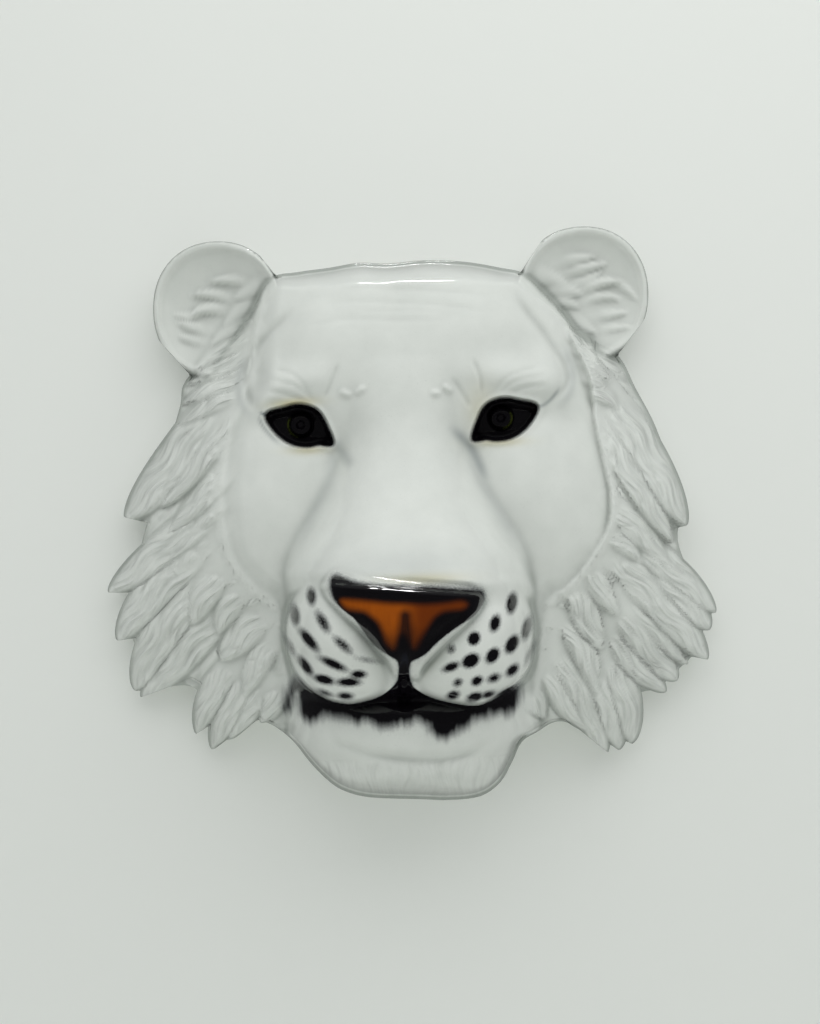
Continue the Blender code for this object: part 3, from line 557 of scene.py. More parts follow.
# each point's place across and along the lock it is on, or across and along the hair under the locks
swirl = np.arctan2(across, WHORL_Y - up)
run = np.hypot(across, up - WHORL_Y)
MANE_RADIUS = 200
comb_across = MANE_RADIUS * swirl
comb_along = run.copy()
# distance from the nearest edge that one lock makes over another
comb_edge = np.full(across.shape, 9.0)
relief = np.zeros(across.shape)
for number, lock in enumerate(all_locks):
    part = patch(lock[:3], lock[3] + 4)
    in_lock, height = lock_of_hair(across[part], up[part], lock)
    _, s, side = along(across[part], up[part], lock_line(lock))
    far = s * np.hypot(lock[2][0] - lock[0][0], lock[2][1] - lock[0][1])
    on_top = (in_lock > 0) & (height > relief[part])
    stands_out = np.minimum(np.abs(in_lock), 2.5 * np.abs(height - relief[part]))
    beside = np.minimum(comb_edge[part], np.where(in_lock > 0, 2.5 * (relief[part] - height), -in_lock))
    comb_edge[part] = np.where(on_top, stands_out, beside)
    comb_across[part] = np.where(on_top, side + 2.6 * np.sin(far / 8 + number), comb_across[part])
    comb_along[part] = np.where(on_top, far, comb_along[part])
    relief[part] = np.where(in_lock > 0, blend_max(relief[part], height, 1.6), relief[part])
    inside[part] = np.maximum(inside[part], np.where(lock[3] > 10.5, in_lock, -99))

# the way the hair runs: away from a point over the brows, along the locks where there are any, and wavy
run_x = across / run
run_y = (up - WHORL_Y) / run
for lock in LEFT_LOCKS + RIGHT_LOCKS + EAR_TUFTS[:7] + ear_fringe:
    part = patch(lock[:3], 30)
    line = lock_line(lock)
    d, s, _ = along(across[part], up[part], line)
    steps = np.gradient(line, axis=0)
    steps = steps / np.hypot(*steps.T)[:, None]
    pull = 3 * np.exp(-((d / (lock[3] + 3)) ** 2))
    run_x[part] += pull * np.interp(s, np.linspace(0, 1, len(line)), steps[:, 0])
    run_y[part] += pull * np.interp(s, np.linspace(0, 1, len(line)), steps[:, 1])
heading = np.arctan2(run_y, run_x) + 0.25 * np.sin(run / 9.5 + 2.2 * np.sin(8 * swirl))
run_x = np.cos(heading)
run_y = np.sin(heading)


def smeared(spots, x, y, reach):
    """Random spots drawn out into strands: their sum at 1 mm steps both ways along the hair's run."""
    total = np.zeros(x.shape)
    for way in (1.0, -1.0):
        px = x.copy()
        py = y.copy()
        for _ in range(reach):
            dx = measured(run_x, px, py)
            dy = measured(run_y, px, py)
            px = px + way * dx
            py = py + way * dy
            total = total + measured(spots, px, py)
    return total / total.std()


# size of a strand's spots, steps that they are drawn out each way, and the depth and pitch of the combing
STRAND_MM = 2.2
STRAND_STEPS = 34
STRAND_DEEP = 1.5
COMB_DEEP = 1.9
COMB_MM = 8.0
CHIN_HAIR_Y = -296.0
random = np.random.default_rng(11)
haired = (in_face < 14) & (inside > -6)
spots = softened(random.normal(size=across.shape), np.ones(across.shape), STRAND_MM)
drawn = np.abs(smeared(spots, across[haired], up[haired], STRAND_STEPS))
strands = np.zeros(across.shape)
strands[haired] = STRAND_DEEP * np.minimum(drawn, 1.6) ** 0.8
strands = strands + COMB_DEEP * np.abs(np.sin(np.pi * comb_across / COMB_MM)) ** 0.7
in_ears = np.maximum.reduce([1 - np.hypot((across - cx) / (rx + 6), (up - cy) / (ry + 6))
                             for cx, cy, rx, ry, _ in EARS])
on_ears = ease(in_ears / 0.06) * ease(-(in_head - 2) / 3)
combed = ease((4 - in_face) / 12) * ease(inside / 5) * ease((comb_edge - 0.6) / 3) * (1 - on_ears)
carved = depth + relief + strands * combed
on_chin = ease((CHIN_HAIR_Y - up) / 8) * ease(in_face / 4)
comb_across = np.where(on_chin > 0, 0.9 * across + 2 * np.sin(up / 6 + across / 11), comb_across)
brushed = np.maximum(combed, 0.45 * on_chin)


# ----------------------------------------------------------------------------------------------------
# The casting
# One shell of white earthenware, about 11 mm thick: poured into a plaster mould, so its outside has the
# carved form under a soft coat of glaze, its inside is smoother, and its back edge is ground flat.
MESH_CENTRE = (6.0, -103.0)
# wall behind the carved side, and width of the flat edge that stands on the wall
WALL_MM = 11.0
FOOT_MM = 8.0
FOOT_DRAW = 0.994
OUTER_CELLS = 280
COARSE = 4
SKIRT_ROWS = 8
EDGE_ROWS = 4
EDGE_ROUND = 3.0
INNER_CELLS = 140
STEEPEST = 6.0
MEAN_RADIUS = 240.0
# angles that the silhouette and the foot are found at, and rounds of spreading the vertices out
OUTLINE_ANGLES = 2880
FOOT_ANGLES = 720
COARSE_ROUNDS = 90
FINE_ROUNDS = 14
INNER_ROUNDS = 30


def outline_radii(count):
    """Distance from the mesh's centre to the silhouette at evenly spaced angles, where the cover of
    clay last falls to nothing, and no steeper against the outline than STEEPEST."""
    angle = np.linspace(0, 2 * np.pi, count, endpoint=False)
    reach = np.arange(180.0, 330.0, 0.5)
    x = MESH_CENTRE[0] + reach * np.cos(angle)[:, None]
    y = MESH_CENTRE[1] + reach * np.sin(angle)[:, None]
    cover = measured(inside, x, y)
    last = cover.shape[1] - 1 - np.argmax(cover[:, ::-1] > 0, axis=1)
    row = np.arange(count)
    after = np.minimum(last + 1, cover.shape[1] - 1)
    drop = np.maximum(cover[row, last] - cover[row, after], 1e-6)
    found = reach[last] + 0.5 * np.clip(cover[row, last] / drop, 0, 1)
    radius = found
    for step in range(1, count // 36):
        allowed = STEEPEST * MEAN_RADIUS * 2 * np.pi * step / count
        radius = np.minimum(radius, np.roll(found, step) + allowed)
        radius = np.minimum(radius, np.roll(found, -step) + allowed)
    return angle, radius


def evenly(angle, radius, share):
    """Points of a closed outline at shares of its length, from the angle 0."""
    ring = np.column_stack([radius * np.cos(angle), radius * np.sin(angle)])
    ring = np.vstack([ring, ring[:1]])
    run = np.concatenate([[0], np.cumsum(np.hypot(*np.diff(ring, axis=0).T))])
    at = np.mod(share, 1.0) * run[-1]
    return np.stack([np.interp(at, run, ring[:, 0]), np.interp(at, run, ring[:, 1])], axis=-1)


def rounded(values, reach):
    """A closed run of values, averaged over a reach of steps on each side."""
    padded = np.concatenate([values[-reach:], values, values[:reach]])
    return np.convolve(padded, np.ones(2 * reach + 1) / (2 * reach + 1), mode="valid")


def disc(cells):
    """Ring number and share of the way round for each vertex of a square grid laid out as a disc: the
    ring is the larger of the two steps from the middle, and the turn runs evenly along each side."""
    steps = np.arange(cells + 1) - cells / 2
    a, b = np.meshgrid(steps, steps, indexing="ij")
    wide = np.abs(a) > np.abs(b)
    with np.errstate(divide="ignore", invalid="ignore"):
        turn = np.where(wide, b / a, 2 - a / b) * np.pi / 4
    turn = np.where(wide & (a < 0), turn + np.pi, turn)
    turn = np.where(~wide & (b < 0), turn + np.pi, turn)
    return np.maximum(np.abs(a), np.abs(b)), np.mod(np.nan_to_num(turn) / (2 * np.pi), 1.0)


def spread_out(field, wanted, x, y, free, rounds):
    """Shift the free vertices until their edges are nearly equal in space, and shorter where more is
    wanted: each goes half way to the mean of its neighbours, weighed by their distance."""
    for _ in range(rounds):
        height = measured(field, x, y)
        more = measured(wanted, x, y)
        total = np.zeros(x.shape)
        px = np.zeros(x.shape)
        py = np.zeros(x.shape)
        for axis, step in ((0, 1), (0, -1), (1, 1), (1, -1)):
            ox = np.roll(x, step, axis)
            oy = np.roll(y, step, axis)
            drop = np.roll(height, step, axis) - height
            pull = COARSE * 0.25 + np.sqrt((ox - x) ** 2 + (oy - y) ** 2 + (0.8 * drop) ** 2)
            pull = pull * (more + np.roll(more, step, axis))
            total += pull
            px += pull * ox
            py += pull * oy
        x = np.where(free, 0.5 * x + 0.5 * px / total, x)
        y = np.where(free, 0.5 * y + 0.5 * py / total, y)
    return x, y


def seen(x, y, height):
    """True place of a point of the layout: depth draws it in towards the axis of the view."""
    pull = 1 - height / VIEW_MM
    return VIEW_AXIS[0] + (x - VIEW_AXIS[0]) * pull, VIEW_AXIS[1] + (y - VIEW_AXIS[1]) * pull


def wall_ring(x, y, height):
    """How far in from the silhouette the shell meets the wall, as a share of the radius."""
    off_head = -measured(in_head, x, y)
    return 0.006 + 0.0003 * height + 0.03 * ease(off_head / 45)


def placed(outline, core, ring, edge_ring, share, inset=0.0):
    """Vertices between the middle and a closed outline, or one inset from it: rings of a soft outline
    near the middle, and of the true one near the edge."""
    out = np.minimum(ring / edge_ring, 1.0)[..., None]
    rim = evenly(*outline, share)
    rim = rim * (1 - inset / np.hypot(rim[..., :1], rim[..., 1:]))
    place = out * ((1 - out**4) * evenly(*core, share) + out**4 * rim)
    return MESH_CENTRE[0] + place[..., 0], MESH_CENTRE[1] + place[..., 1]


def finer(grid, times):
    """A grid with that many cells in place of each one, weighed between its corners."""
    for axis in (0, 1):
        at = np.arange(0, grid.shape[axis] - 1 + 1e-9, 1 / times)
        low = np.minimum(at.astype(int), grid.shape[axis] - 2)
        part = (at - low).reshape((-1, 1) if axis == 0 else (1, -1))
        grid = np.take(grid, low, axis) * (1 - part) + np.take(grid, low + 1, axis) * part
    return grid


clay = (inside > -1).astype(float)
glazed = softened(carved, clay, 1.0)
broad = softened(carved, clay, 3.4)
fine_work = softened(np.abs(glazed - broad), clay, 5.0)
wanted = 0.55 + np.minimum(fine_work / 1.2, 1.0)
for rim in EYES:
    wanted = np.maximum(wanted, 2.2 * swell(across, up, *rim.mean(axis=0), 40, 30))
wanted = np.maximum(wanted, 1.7 * swell(across, up, 0, -195, 80, 60))

# the outside, from the middle of the face to where its edge starts to turn
outline = outline_radii(OUTLINE_ANGLES)
core = (outline[0], rounded(rounded(outline[1], 100), 100))
face_ring = OUTER_CELLS / 2 - SKIRT_ROWS - EDGE_ROWS
ring, share = disc(OUTER_CELLS // COARSE)
x, y = placed(outline, core, ring, face_ring / COARSE, share, EDGE_ROUND)
x, y = spread_out(broad, wanted, x, y, ring < face_ring / COARSE, COARSE_ROUNDS)
x, y = finer(x, COARSE), finer(y, COARSE)
ring, share = disc(OUTER_CELLS)
last_x, last_y = placed(outline, outline, ring, face_ring, share, EDGE_ROUND)
x = np.where(ring < face_ring, x, last_x)
y = np.where(ring < face_ring, y, last_y)
x, y = spread_out(broad, wanted, x, y, ring < face_ring, FINE_ROUNDS)
height = measured(glazed, x, y)

# a quarter round down to the silhouette, and from there in to the wall
turn = np.clip((ring - face_ring) / EDGE_ROWS, 0, 1) * np.pi / 2
rim_inset = EDGE_ROUND * (1 - np.sin(turn))[..., None]
rim_x, rim_y = placed(outline, outline, ring, face_ring, share, rim_inset)
x = np.where(ring < face_ring, x, rim_x)
y = np.where(ring < face_ring, y, rim_y)
layout_x, layout_y = x, y
height = height - EDGE_ROUND * (1 - np.cos(turn))
tx, ty = seen(x, y, height)
row = np.clip(ring - face_ring - EDGE_ROWS, 0, SKIRT_ROWS) / SKIRT_ROWS
draw = 1 - wall_ring(x, y, height) * row**1.3
tx = MESH_CENTRE[0] + (tx - MESH_CENTRE[0]) * draw
ty = MESH_CENTRE[1] + (ty - MESH_CENTRE[1]) * draw
outer = np.stack([tx - HANG_AT[0], -height * (1 - row), ty - HANG_AT[1]], axis=-1) / 1000

# the inside, one wall's thickness behind it
solid = np.minimum(softened(np.where(inside > 0, carved, -30.0), np.ones(carved.shape), 7.0),
                   np.where(inside > 0, carved, -50.0))
inner = solid - WALL_MM
for i in range(-int(WALL_MM), int(WALL_MM) + 1):
    for j in range(-int(WALL_MM), int(WALL_MM) + 1):
        if np.hypot(i, j) <= WALL_MM and (i + j) % 2 == 0:
            moved = np.roll(solid, (i, j), axis=(0, 1)) - np.sqrt(WALL_MM**2 - i * i - j * j)
            inner = np.minimum(inner, moved)
inner = np.minimum(inner, softened(inner, np.ones(inner.shape), 8.0))
angle, radius = outline_radii(FOOT_ANGLES)
foot_x = MESH_CENTRE[0] + FOOT_DRAW * radius * np.cos(angle)
foot_y = MESH_CENTRE[1] + FOOT_DRAW * radius * np.sin(angle)
foot_height = measured(broad, foot_x, foot_y)
foot = radius * (1 - foot_height / VIEW_MM) * (1 - wall_ring(foot_x, foot_y, foot_height))
foot = rounded(np.min([np.roll(foot, k) for k in range(-7, 8)], axis=0) - FOOT_MM, 3)
in_ring, in_share = disc(INNER_CELLS)
last = INNER_CELLS / 2
x, y = placed((angle, foot), (angle, rounded(rounded(foot, 25), 25)), in_ring, last, in_share)
x, y = spread_out(inner, np.ones(inner.shape), x, y, in_ring < last, INNER_ROUNDS)
height = np.where(in_ring < last, np.maximum(measured(inner, x, y), 0.4), 0.0)
tx, ty = seen(x, y, height)
cavity = np.stack([tx - HANG_AT[0], -height, ty - HANG_AT[1]], axis=-1) / 1000

# one closed skin: the outside, the inside turned about, and the flat edge between them
outer_at = np.arange(outer.shape[0] * outer.shape[1]).reshape(outer.shape[:2])
inner_at = np.arange(cavity.shape[0] * cavity.shape[1]).reshape(cavity.shape[:2]) + outer_at.size
outer_quads = np.stack([outer_at[:-1, :-1], outer_at[1:, :-1], outer_at[1:, 1:], outer_at[:-1, 1:]], -1)
inner_quads = np.stack([inner_at[:-1, :-1], inner_at[:-1, 1:], inner_at[1:, 1:], inner_at[1:, :-1]], -1)
outer_loop = outer_at[ring == OUTER_CELLS / 2][np.argsort(share[ring == OUTER_CELLS / 2])]
inner_loop = inner_at[in_ring == last][np.argsort(in_share[in_ring == last])]
even = outer_loop[0::2]
odd = outer_loop[1::2]
next_even = np.roll(even, -1)
next_inner = np.roll(inner_loop, -1)
edge_faces = np.concatenate([
    np.stack([odd, even, inner_loop], axis=-1),
    np.stack([odd, inner_loop, next_inner], axis=-1),
    np.stack([next_even, odd, next_inner], axis=-1),
])
quads = np.concatenate([outer_quads.reshape(-1, 4), inner_quads.reshape(-1, 4)])
corners = np.concatenate([quads.ravel(), edge_faces.ravel()])
sides = np.concatenate([np.full(len(quads), 4), np.full(len(edge_faces), 3)])
points = np.concatenate([outer.reshape(-1, 3), cavity.reshape(-1, 3)])

# drawn in by under a hundredth, to the size of the casting that it replaces
own_low = points.min(axis=0)
own_high = points.max(axis=0)
cad_low = np.array(cad_box[0])
cad_high = np.array(cad_box[1])
points = cad_low + (points - own_low) / (own_high - own_low) * (cad_high - cad_low)

head_mesh = bpy.data.meshes.new("glazed_head")
head_mesh.vertices.add(len(points))
head_mesh.vertices.foreach_set("co", points.astype(np.float32).ravel())
head_mesh.loops.add(len(corners))
head_mesh.loops.foreach_set("vertex_index", corners.astype(np.int32))
head_mesh.polygons.add(len(sides))
first_corners = np.concatenate([[0], np.cumsum(sides)[:-1]])
head_mesh.polygons.foreach_set("loop_start", first_corners.astype(np.int32))
is_edge = np.arange(len(sides)) >= len(quads)
is_outside = np.arange(len(sides)) < outer_quads.shape[0] * outer_quads.shape[1]
head_mesh.polygons.foreach_set("use_smooth", ~is_edge)
head_mesh.polygons.foreach_set("material_index", np.where(is_outside, 0, 1).astype(np.int32))
head_mesh.update(calc_edges=True)
head_mesh.validate()
glazed_head = bpy.data.objects.new("glazed_head", head_mesh)
bpy.context.scene.collection.objects.link(glazed_head)
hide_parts("big_cat_mask")
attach(glazed_head, "root")


# ----------------------------------------------------------------------------------------------------
# The painted markings
# Underglaze colour, airbrushed on the white before the clear glaze: black round the eyes, nose and
# mouth, an orange nose pad, blue-black whisker spots and soft grey, which is partly painted shade along
# the bridge, in the creases and above the nose. Each is kept on the mesh as millimetres inside its edge,
# or as a strength from 0 to 1.
# centre, half length, half width, lean in degrees and strength of each whisker spot
SPOTS = [
    (-85, -151.5, 7.0, 3.7, 93, 0.85), (-100, -167.5, 8.4, 3.7, 96, 0.95),
    (-75.5, -174.5, 9.7, 4.0, 118, 0.72), (-88.5, -190, 11.4, 3.7, 128, 0.9),
    (-105, -195, 7.0, 2.0, 116, 0.9), (-58.5, -195.5, 9.2, 3.5, 136, 0.72),
    (-37.5, -209.5, 7.5, 2.0, 168, 0.5), (-92.5, -212.5, 9.2, 3.3, 126, 0.95),
    (-67.5, -212, 11.0, 3.1, 153, 0.95), (-45.5, -222, 5.7, 2.9, 178, 1),
    (-76, -225.5, 7.9, 3.3, 163, 1), (-54.5, -228.5, 8.8, 3.1, 178, 1),
    (-75.5, -237.5, 5.5, 1.8, 158, 0.8), (-57.5, -241, 5.9, 2.9, 173, 0.9),
    (92, -163, 8.4, 4.2, 78, 0.95), (76.5, -180.5, 6.8, 4.0, 73, 0.95), (57.5, -193.5, 5.5, 4.8, 58, 1),
    (104.5, -185.5, 9.2, 3.7, 74, 0.95), (37, -202, 3.7, 3.3, 58, 0.65), (91, -199.5, 7.9, 4.6, 58, 1),
    (54, -213, 7.3, 5.3, 28, 1), (73.5, -209, 6.6, 4.6, 53, 1), (36.5, -218, 6.6, 3.1, 20, 0.95),
    (106.5, -208.5, 8.4, 2.4, 68, 0.7), (90.5, -222.5, 5.9, 3.5, 43, 0.9),
    (74, -229, 5.3, 3.3, 20, 0.8), (59, -231, 4.4, 3.3, 28, 1), (42, -232, 3.7, 2.9, 28, 0.8),
    (37.5, -243, 4.8, 3.1, 13, 0.95), (56.5, -245.5, 6.4, 3.5, 16, 1),
    (68.5, -243.5, 5.5, 2.6, 13, 0.9), (85, -241, 8.8, 2.0, 23, 0.9),
]
NOSE_BLACK = [
    (-67.5, -137), (-62.5, -133), (-54, -137), (-44.5, -140.5), (-32, -143), (-17, -144.5),
    (-1.5, -145), (16, -146), (33.5, -147.5), (49, -149), (60, -150), (66, -152),
    (67.5, -157), (66.5, -162.5), (63, -168.5), (56.5, -175), (48, -180), (40, -185),
    (32.5, -190.5), (23.5, -197.5), (16.5, -204.5), (9.5, -209), (2, -212.5), (0, -218),
    (0, -226.5), (1.5, -235), (-13, -234.5), (-11, -226.5), (-10, -217), (-11.5, -211),
    (-17.5, -207), (-25.5, -201.5), (-32.5, -194.5), (-38.5, -186.5), (-44.5, -177.5), (-48.5, -172),
    (-55, -167), (-60.5, -161.5), (-65, -155), (-67.5, -147),
]
NOSE_ORANGE = [
    (-58.5, -155.5), (-48, -156), (-32.5, -158), (-17.5, -160), (-2, -161), (15.5, -162),
    (33, -161.5), (46.5, -160), (52, -162.5), (51, -165.5), (46.5, -167.5), (37.5, -168),
    (31, -169), (24, -173), (19.5, -178.5), (15.5, -185), (11.5, -192), (8.5, -197.5),
    (5, -201), (1.5, -198), (-1, -191.5), (-5, -187.5), (-9, -191), (-12, -198.5),
    (-15, -200.5), (-19.5, -196), (-21.5, -190.5), (-23.5, -183.5), (-26.5, -177), (-32, -171.5),
    (-38.5, -167), (-46, -165.5), (-52.5, -164), (-57, -160.5),
]
MOUTH_BLACK = [
    (-110.5, -249), (-109.5, -240.5), (-106.5, -231.5), (-102, -225.5), (-94, -222), (-79, -218),
    (-57, -226), (-31, -226), (-17.5, -221), (-5, -212), (7, -222), (17.5, -230), (44, -235),
    (68, -234), (86, -232), (95, -240), (94, -251), (87.5, -257.5), (80.5, -260.5), (73, -259.5),
    (63, -263.5), (54, -265.5), (47.5, -270), (38.5, -276), (29.5, -278.5), (22.5, -277), (16.5, -273),
    (14, -268), (3.5, -265), (-9.5, -268), (-23, -269.5), (-36, -264.5), (-51.5, -263), (-66.5, -259.5),
    (-74.5, -256.5), (-81, -259), (-91, -259.5), (-97.5, -254.5), (-99, -245), (-101, -236.5),
    (-104, -240.5), (-107, -249.5),
]
# line, half width at its middle and strength of the grey: airbrushed lash lines by the eyes' outer
# corners and lower lid, and painted shade along the bridge's sides, in the inner eye corners and in the
# folds beside the brows
GREY_AND_SHADE_LINES = [
    ([(-57, -20), (-66, -48), (-84, -84), (-101, -118)], 6, 0.2),
    ([(57, -26), (68, -52), (86, -88), (103, -124)], 6, 0.2),
    ([(-61, -14), (-52, -28), (-44, -41)], 5, 0.4),
    ([(44, -7), (54, -17), (63, -30), (76, -61)], 4.5, 0.65),
    ([(-126.5, 9), (-123, 1), (-118, -6), (-112, -12.5), (-106.5, -17)], 1.5, 0.6),
    ([(-112, 10), (-119, 10), (-127, 14)], 1.3, 1.2),
    ([(118, 9), (128, 13), (137, 22), (142, 30)], 1.6, 0.6),
    ([(-137, 62), (-143, 40), (-140, 18), (-128, 5)], 4, 0.3),
    ([(146, 62), (152, 40), (148, 20), (134, 5)], 4, 0.3),
]


def airbrushed(inside_mm, soft_mm):
    """Cover of a sprayed edge: 0 to 1 over a soft band on both sides of the line."""
    return ease(0.5 + 0.5 * inside_mm / soft_mm)


x, y = layout_x.ravel(), layout_y.ravel()
front_only = (ring <= face_ring + EDGE_ROWS).ravel()
sprayed = np.zeros(x.shape)
for cx, cy, long, wide, lean, strength in SPOTS:
    c = np.cos(np.radians(lean))
    s = np.sin(np.radians(lean))
    away = np.hypot(((x - cx) * c + (y - cy) * s) / long, ((y - cy) * c - (x - cx) * s) / wide)
    sprayed = np.maximum(sprayed, strength * airbrushed((1 - away) * wide + 0.3, 3.2))

eye_inside = np.maximum(within(x, y, EYES[0]), within(x, y, EYES[1]))
nose_inside = within(x, y, through(NOSE_BLACK, 4, closed=True))
upper_edge = ease((y + 165) / 12)
sprayed = np.maximum(sprayed, airbrushed(nose_inside + 0.5 * upper_edge - 0.3, 1.4 + 3.6 * upper_edge))
sprayed = np.maximum(sprayed, airbrushed(eye_inside + 1.3, 1.9))

off_pad = (np.minimum(pad_place(x, y, PADS[0])[0], pad_place(x, y, PADS[1])[0]) - 1) * 24
mouth = within(x, y, through(MOUTH_BLACK, 4, closed=True))

orange = airbrushed(within(x, y, through(NOSE_ORANGE, 4, closed=True)) - 0.6, 4.2)
septum, _, _ = along(x, y, np.array([(-2.5, -172), (-3.5, -205)]))
septum = np.exp(-((septum / (6.0 + 5.0 * ease((y + 172) / -24))) ** 2))
septum = np.maximum(septum, 0.7 * ease((-y - 176) / 24))
right_half = ease((x + 8) / 22)

iris = np.full(x.shape, -9.0)
off_iris = np.full(x.shape, 90.0)
for side, (cx, cy, radius) in zip((-1, 1), IRISES):
    off_iris = np.minimum(off_iris, np.hypot(x - cx, y - cy))
    bow = 1.2 - np.abs(np.hypot(x - cx, y - cy) - radius + 0.8)
    turn = np.degrees(np.arctan2(y - cy, side * (x - cx)))
    ends = np.minimum(turn + 84, 36 - turn) / 12
    iris = np.maximum(iris, np.minimum(bow, ends))

# grey along the lines; those along the bridge, in the inner eye corners and in the brow folds are painted
# shade
grey_and_shade = np.zeros(x.shape)
for knots, width, strength in GREY_AND_SHADE_LINES:
    d, s, _ = along(x, y, through(knots, 6))
    ends = ease(s / 0.3 + 0.4) * ease((1 - s) / 0.35)
    grey_and_shade = np.maximum(grey_and_shade, strength * np.exp(-((d / width) ** 2)) * ends)
haze = 0.55 * np.exp(-np.clip(-nose_inside, 0, None) / 3.2)
haze = haze + 0.35 * np.exp(-np.clip(-eye_inside, 0, None) / 1.8)
haze = haze + 0.35 * np.exp(-np.clip(-mouth, 0, None) / 4.0) * (off_pad > 0)
# painted shade over the lower bridge, just above the nose
grey_and_shade = np.maximum(grey_and_shade, 0.25 * swell(x, y, 0, -128, 50, 18))
warm = 0.9 * swell(x, y, -95, 20, 20, 4.5, 3) + 0.6 * swell(x, y, -84, -22, 18, 4)
warm = warm + 0.6 * swell(x, y, 86, -20, 22, 4) + 0.35 * swell(x, y, 70, 8, 13, 22)
warm = warm + 0.6 * swell(x, y, 14, -139, 34, 5)

# glaze lies thicker, and looks greyer, in the hollows of the relief, and the same grey is painted shade in
# the hollows, fine and broad
sunk_fine = measured(softened(glazed, clay, 3.0) - glazed, x, y)
sunk_broad = measured(softened(glazed, clay, 12.0) - glazed, x, y)
pooled_glaze_and_shade = np.clip(sunk_fine / 2.2, 0, 1) + 0.5 * np.clip(sunk_broad / 14.0, 0, 1)

painted = {
    "comb_across": measured(comb_across, x, y), "comb_along": measured(comb_along, x, y),
    "combed": measured(brushed, x, y), "sprayed": sprayed, "mouth_mm": mouth, "lip_mm": off_pad,
    "orange": orange, "septum": septum, "right_half": right_half, "iris_mm": iris,
    "eye_mm": eye_inside, "off_iris_mm": off_iris, "grey_and_shade": grey_and_shade, "haze": haze, "warm": warm,
    "pooled_glaze_and_shade": pooled_glaze_and_shade,
}
for name, values in painted.items():
    kept = np.full(len(points), -9.0 if name.endswith("_mm") else 0.0)
    kept[: len(values)] = np.where(front_only, values, kept[: len(values)])
    layer = head_mesh.attributes.new(name, "FLOAT", "POINT")
    layer.data.foreach_set("value", kept.astype(np.float32))


# ----------------------------------------------------------------------------------------------------
# The glaze
# Lead-free clear glaze over white tin slip, fired to a hard high gloss: it rounds every edge, lies in a
# faintly uneven coat, and shows greyer where it has run together in the hollows, darkened further there
# with painted shade.
GLAZE_WHITE = "E4E7E2"
# grey of pooled glaze, and of painted shade, in the hollows and between strands
GLAZE_POOLED_AND_SHADED = "A9AEA8"
AIRBRUSH_GREY_AND_SHADE = "8E9596"
UNDERGLAZE_BLACK = "0B090D"
BLACK_THINNED = "232838"
NOSE_AMBER = "A2500C"
NOSE_RUST = "6E3008"
IRIS_GREEN = "4C5426"
WARM_TINT = "CFC79F"
# how many spray grains, streaks, tufts of the mouth's edge, clouds and orange-peel swells fit in a metre
GRAINS_PER_M = 900.0
STREAKS_PER_M = 330.0
TUFTS_PER_M = 130.0
CLOUDS_PER_M = 45.0
SWELLS_PER_M = 160.0


def linear(code):
    """sRGB hex to linear colour: each channel to the power that undoes the screen's curve."""
    shown = np.array([int(code[k : k + 2], 16) for k in (0, 2, 4)]) / 255
    light = np.where(shown <= 0.04045, shown / 12.92, ((shown + 0.055) / 1.055) ** 2.4)
    return (*[float(v) for v in light], 1.0)


def add(tree, kind, links=(), out=0, **settings):
    """A node with its settings, and its inputs, in order or by key, set to values or joined to other
    nodes' outputs. Gives back one output."""
    node = tree.nodes.new("ShaderNode" + kind)
    for key, value in settings.items():
        setattr(node, key, value)
    for key, value in links.items() if isinstance(links, dict) else enumerate(links):
        if isinstance(value, bpy.types.NodeSocket):
            tree.links.new(value, node.inputs[key])
        else:
            node.inputs[key].default_value = value
    return node.outputs[out]


# Map Range takes a value and its from and to limits, and Mix a share and, from 6 on, two colours
glaze = bpy.data.materials.new("white_glaze_painted")
glaze.use_nodes = True
tree = glaze.node_tree
surface = tree.nodes["Principled BSDF"]
surface.inputs["IOR"].default_value = 1.52
where = add(tree, "TexCoord", out="Object")
kept = {name: add(tree, "Attribute", out="Fac", attribute_name=name) for name in painted}

# spray grain about a millimetre across, and streaks 3 mm apart that run down through the mouth's fur
grain = add(tree, "TexNoise", {"Vector": where, "Scale": GRAINS_PER_M, "Detail": 2.0})
stretch = add(tree, "Mapping", {"Vector": where, "Scale": (1.0, 0.3, 0.14)})
streaks = add(tree, "TexNoise", {"Vector": stretch, "Scale": STREAKS_PER_M, "Detail": 2.0})

# strands of hair, drawn out along each lock: about 5 mm across and 40 mm long
hair_x = add(tree, "Math", [kept["comb_across"], 0.2], operation="MULTIPLY")
hair_y = add(tree, "Math", [kept["comb_along"], 0.025], operation="MULTIPLY")
hair = add(tree, "CombineXYZ", [hair_x, hair_y])
hair = add(tree, "TexNoise", {"Vector": hair, "Scale": 1.0, "Detail": 1.0})
hair = add(tree, "Math", [hair, 0.5], operation="SUBTRACT")
hair = add(tree, "Math", [hair, kept["combed"]], operation="MULTIPLY")

# white, greyer in the hollows and between strands: pooled glaze and painted shade, with random clouds
mottle = add(tree, "TexNoise", {"Vector": where, "Scale": CLOUDS_PER_M, "Detail": 3.0})
mottle = add(tree, "MapRange", [mottle, 0.3, 0.7, 0.0, 0.12])
strand_shade_tone = add(tree, "MapRange", [hair, 0.0, -0.2, 0.0, 0.35])
strand_shade_tone = add(tree, "Math", [strand_shade_tone, mottle], operation="ADD")
pooled_shaded_and_mottled = add(tree, "Math", [kept["pooled_glaze_and_shade"], 0.62, strand_shade_tone], operation="MULTIPLY_ADD")

# overspray: a haze of fine grains, thicker near the black
dots = add(tree, "Math", [grain, 2.4, -0.7], operation="MULTIPLY_ADD")
dots = add(tree, "Math", [dots, kept["haze"]], operation="MULTIPLY", use_clamp=True)

# black of the spots, the nose and the eyes, with a little grain in its soft edges
edge_grain = add(tree, "Math", [grain, 0.5, kept["sprayed"]], operation="MULTIPLY_ADD")
sprayed_on = add(tree, "MapRange", [edge_grain, 0.32, 0.98, 0.0, 1.0])

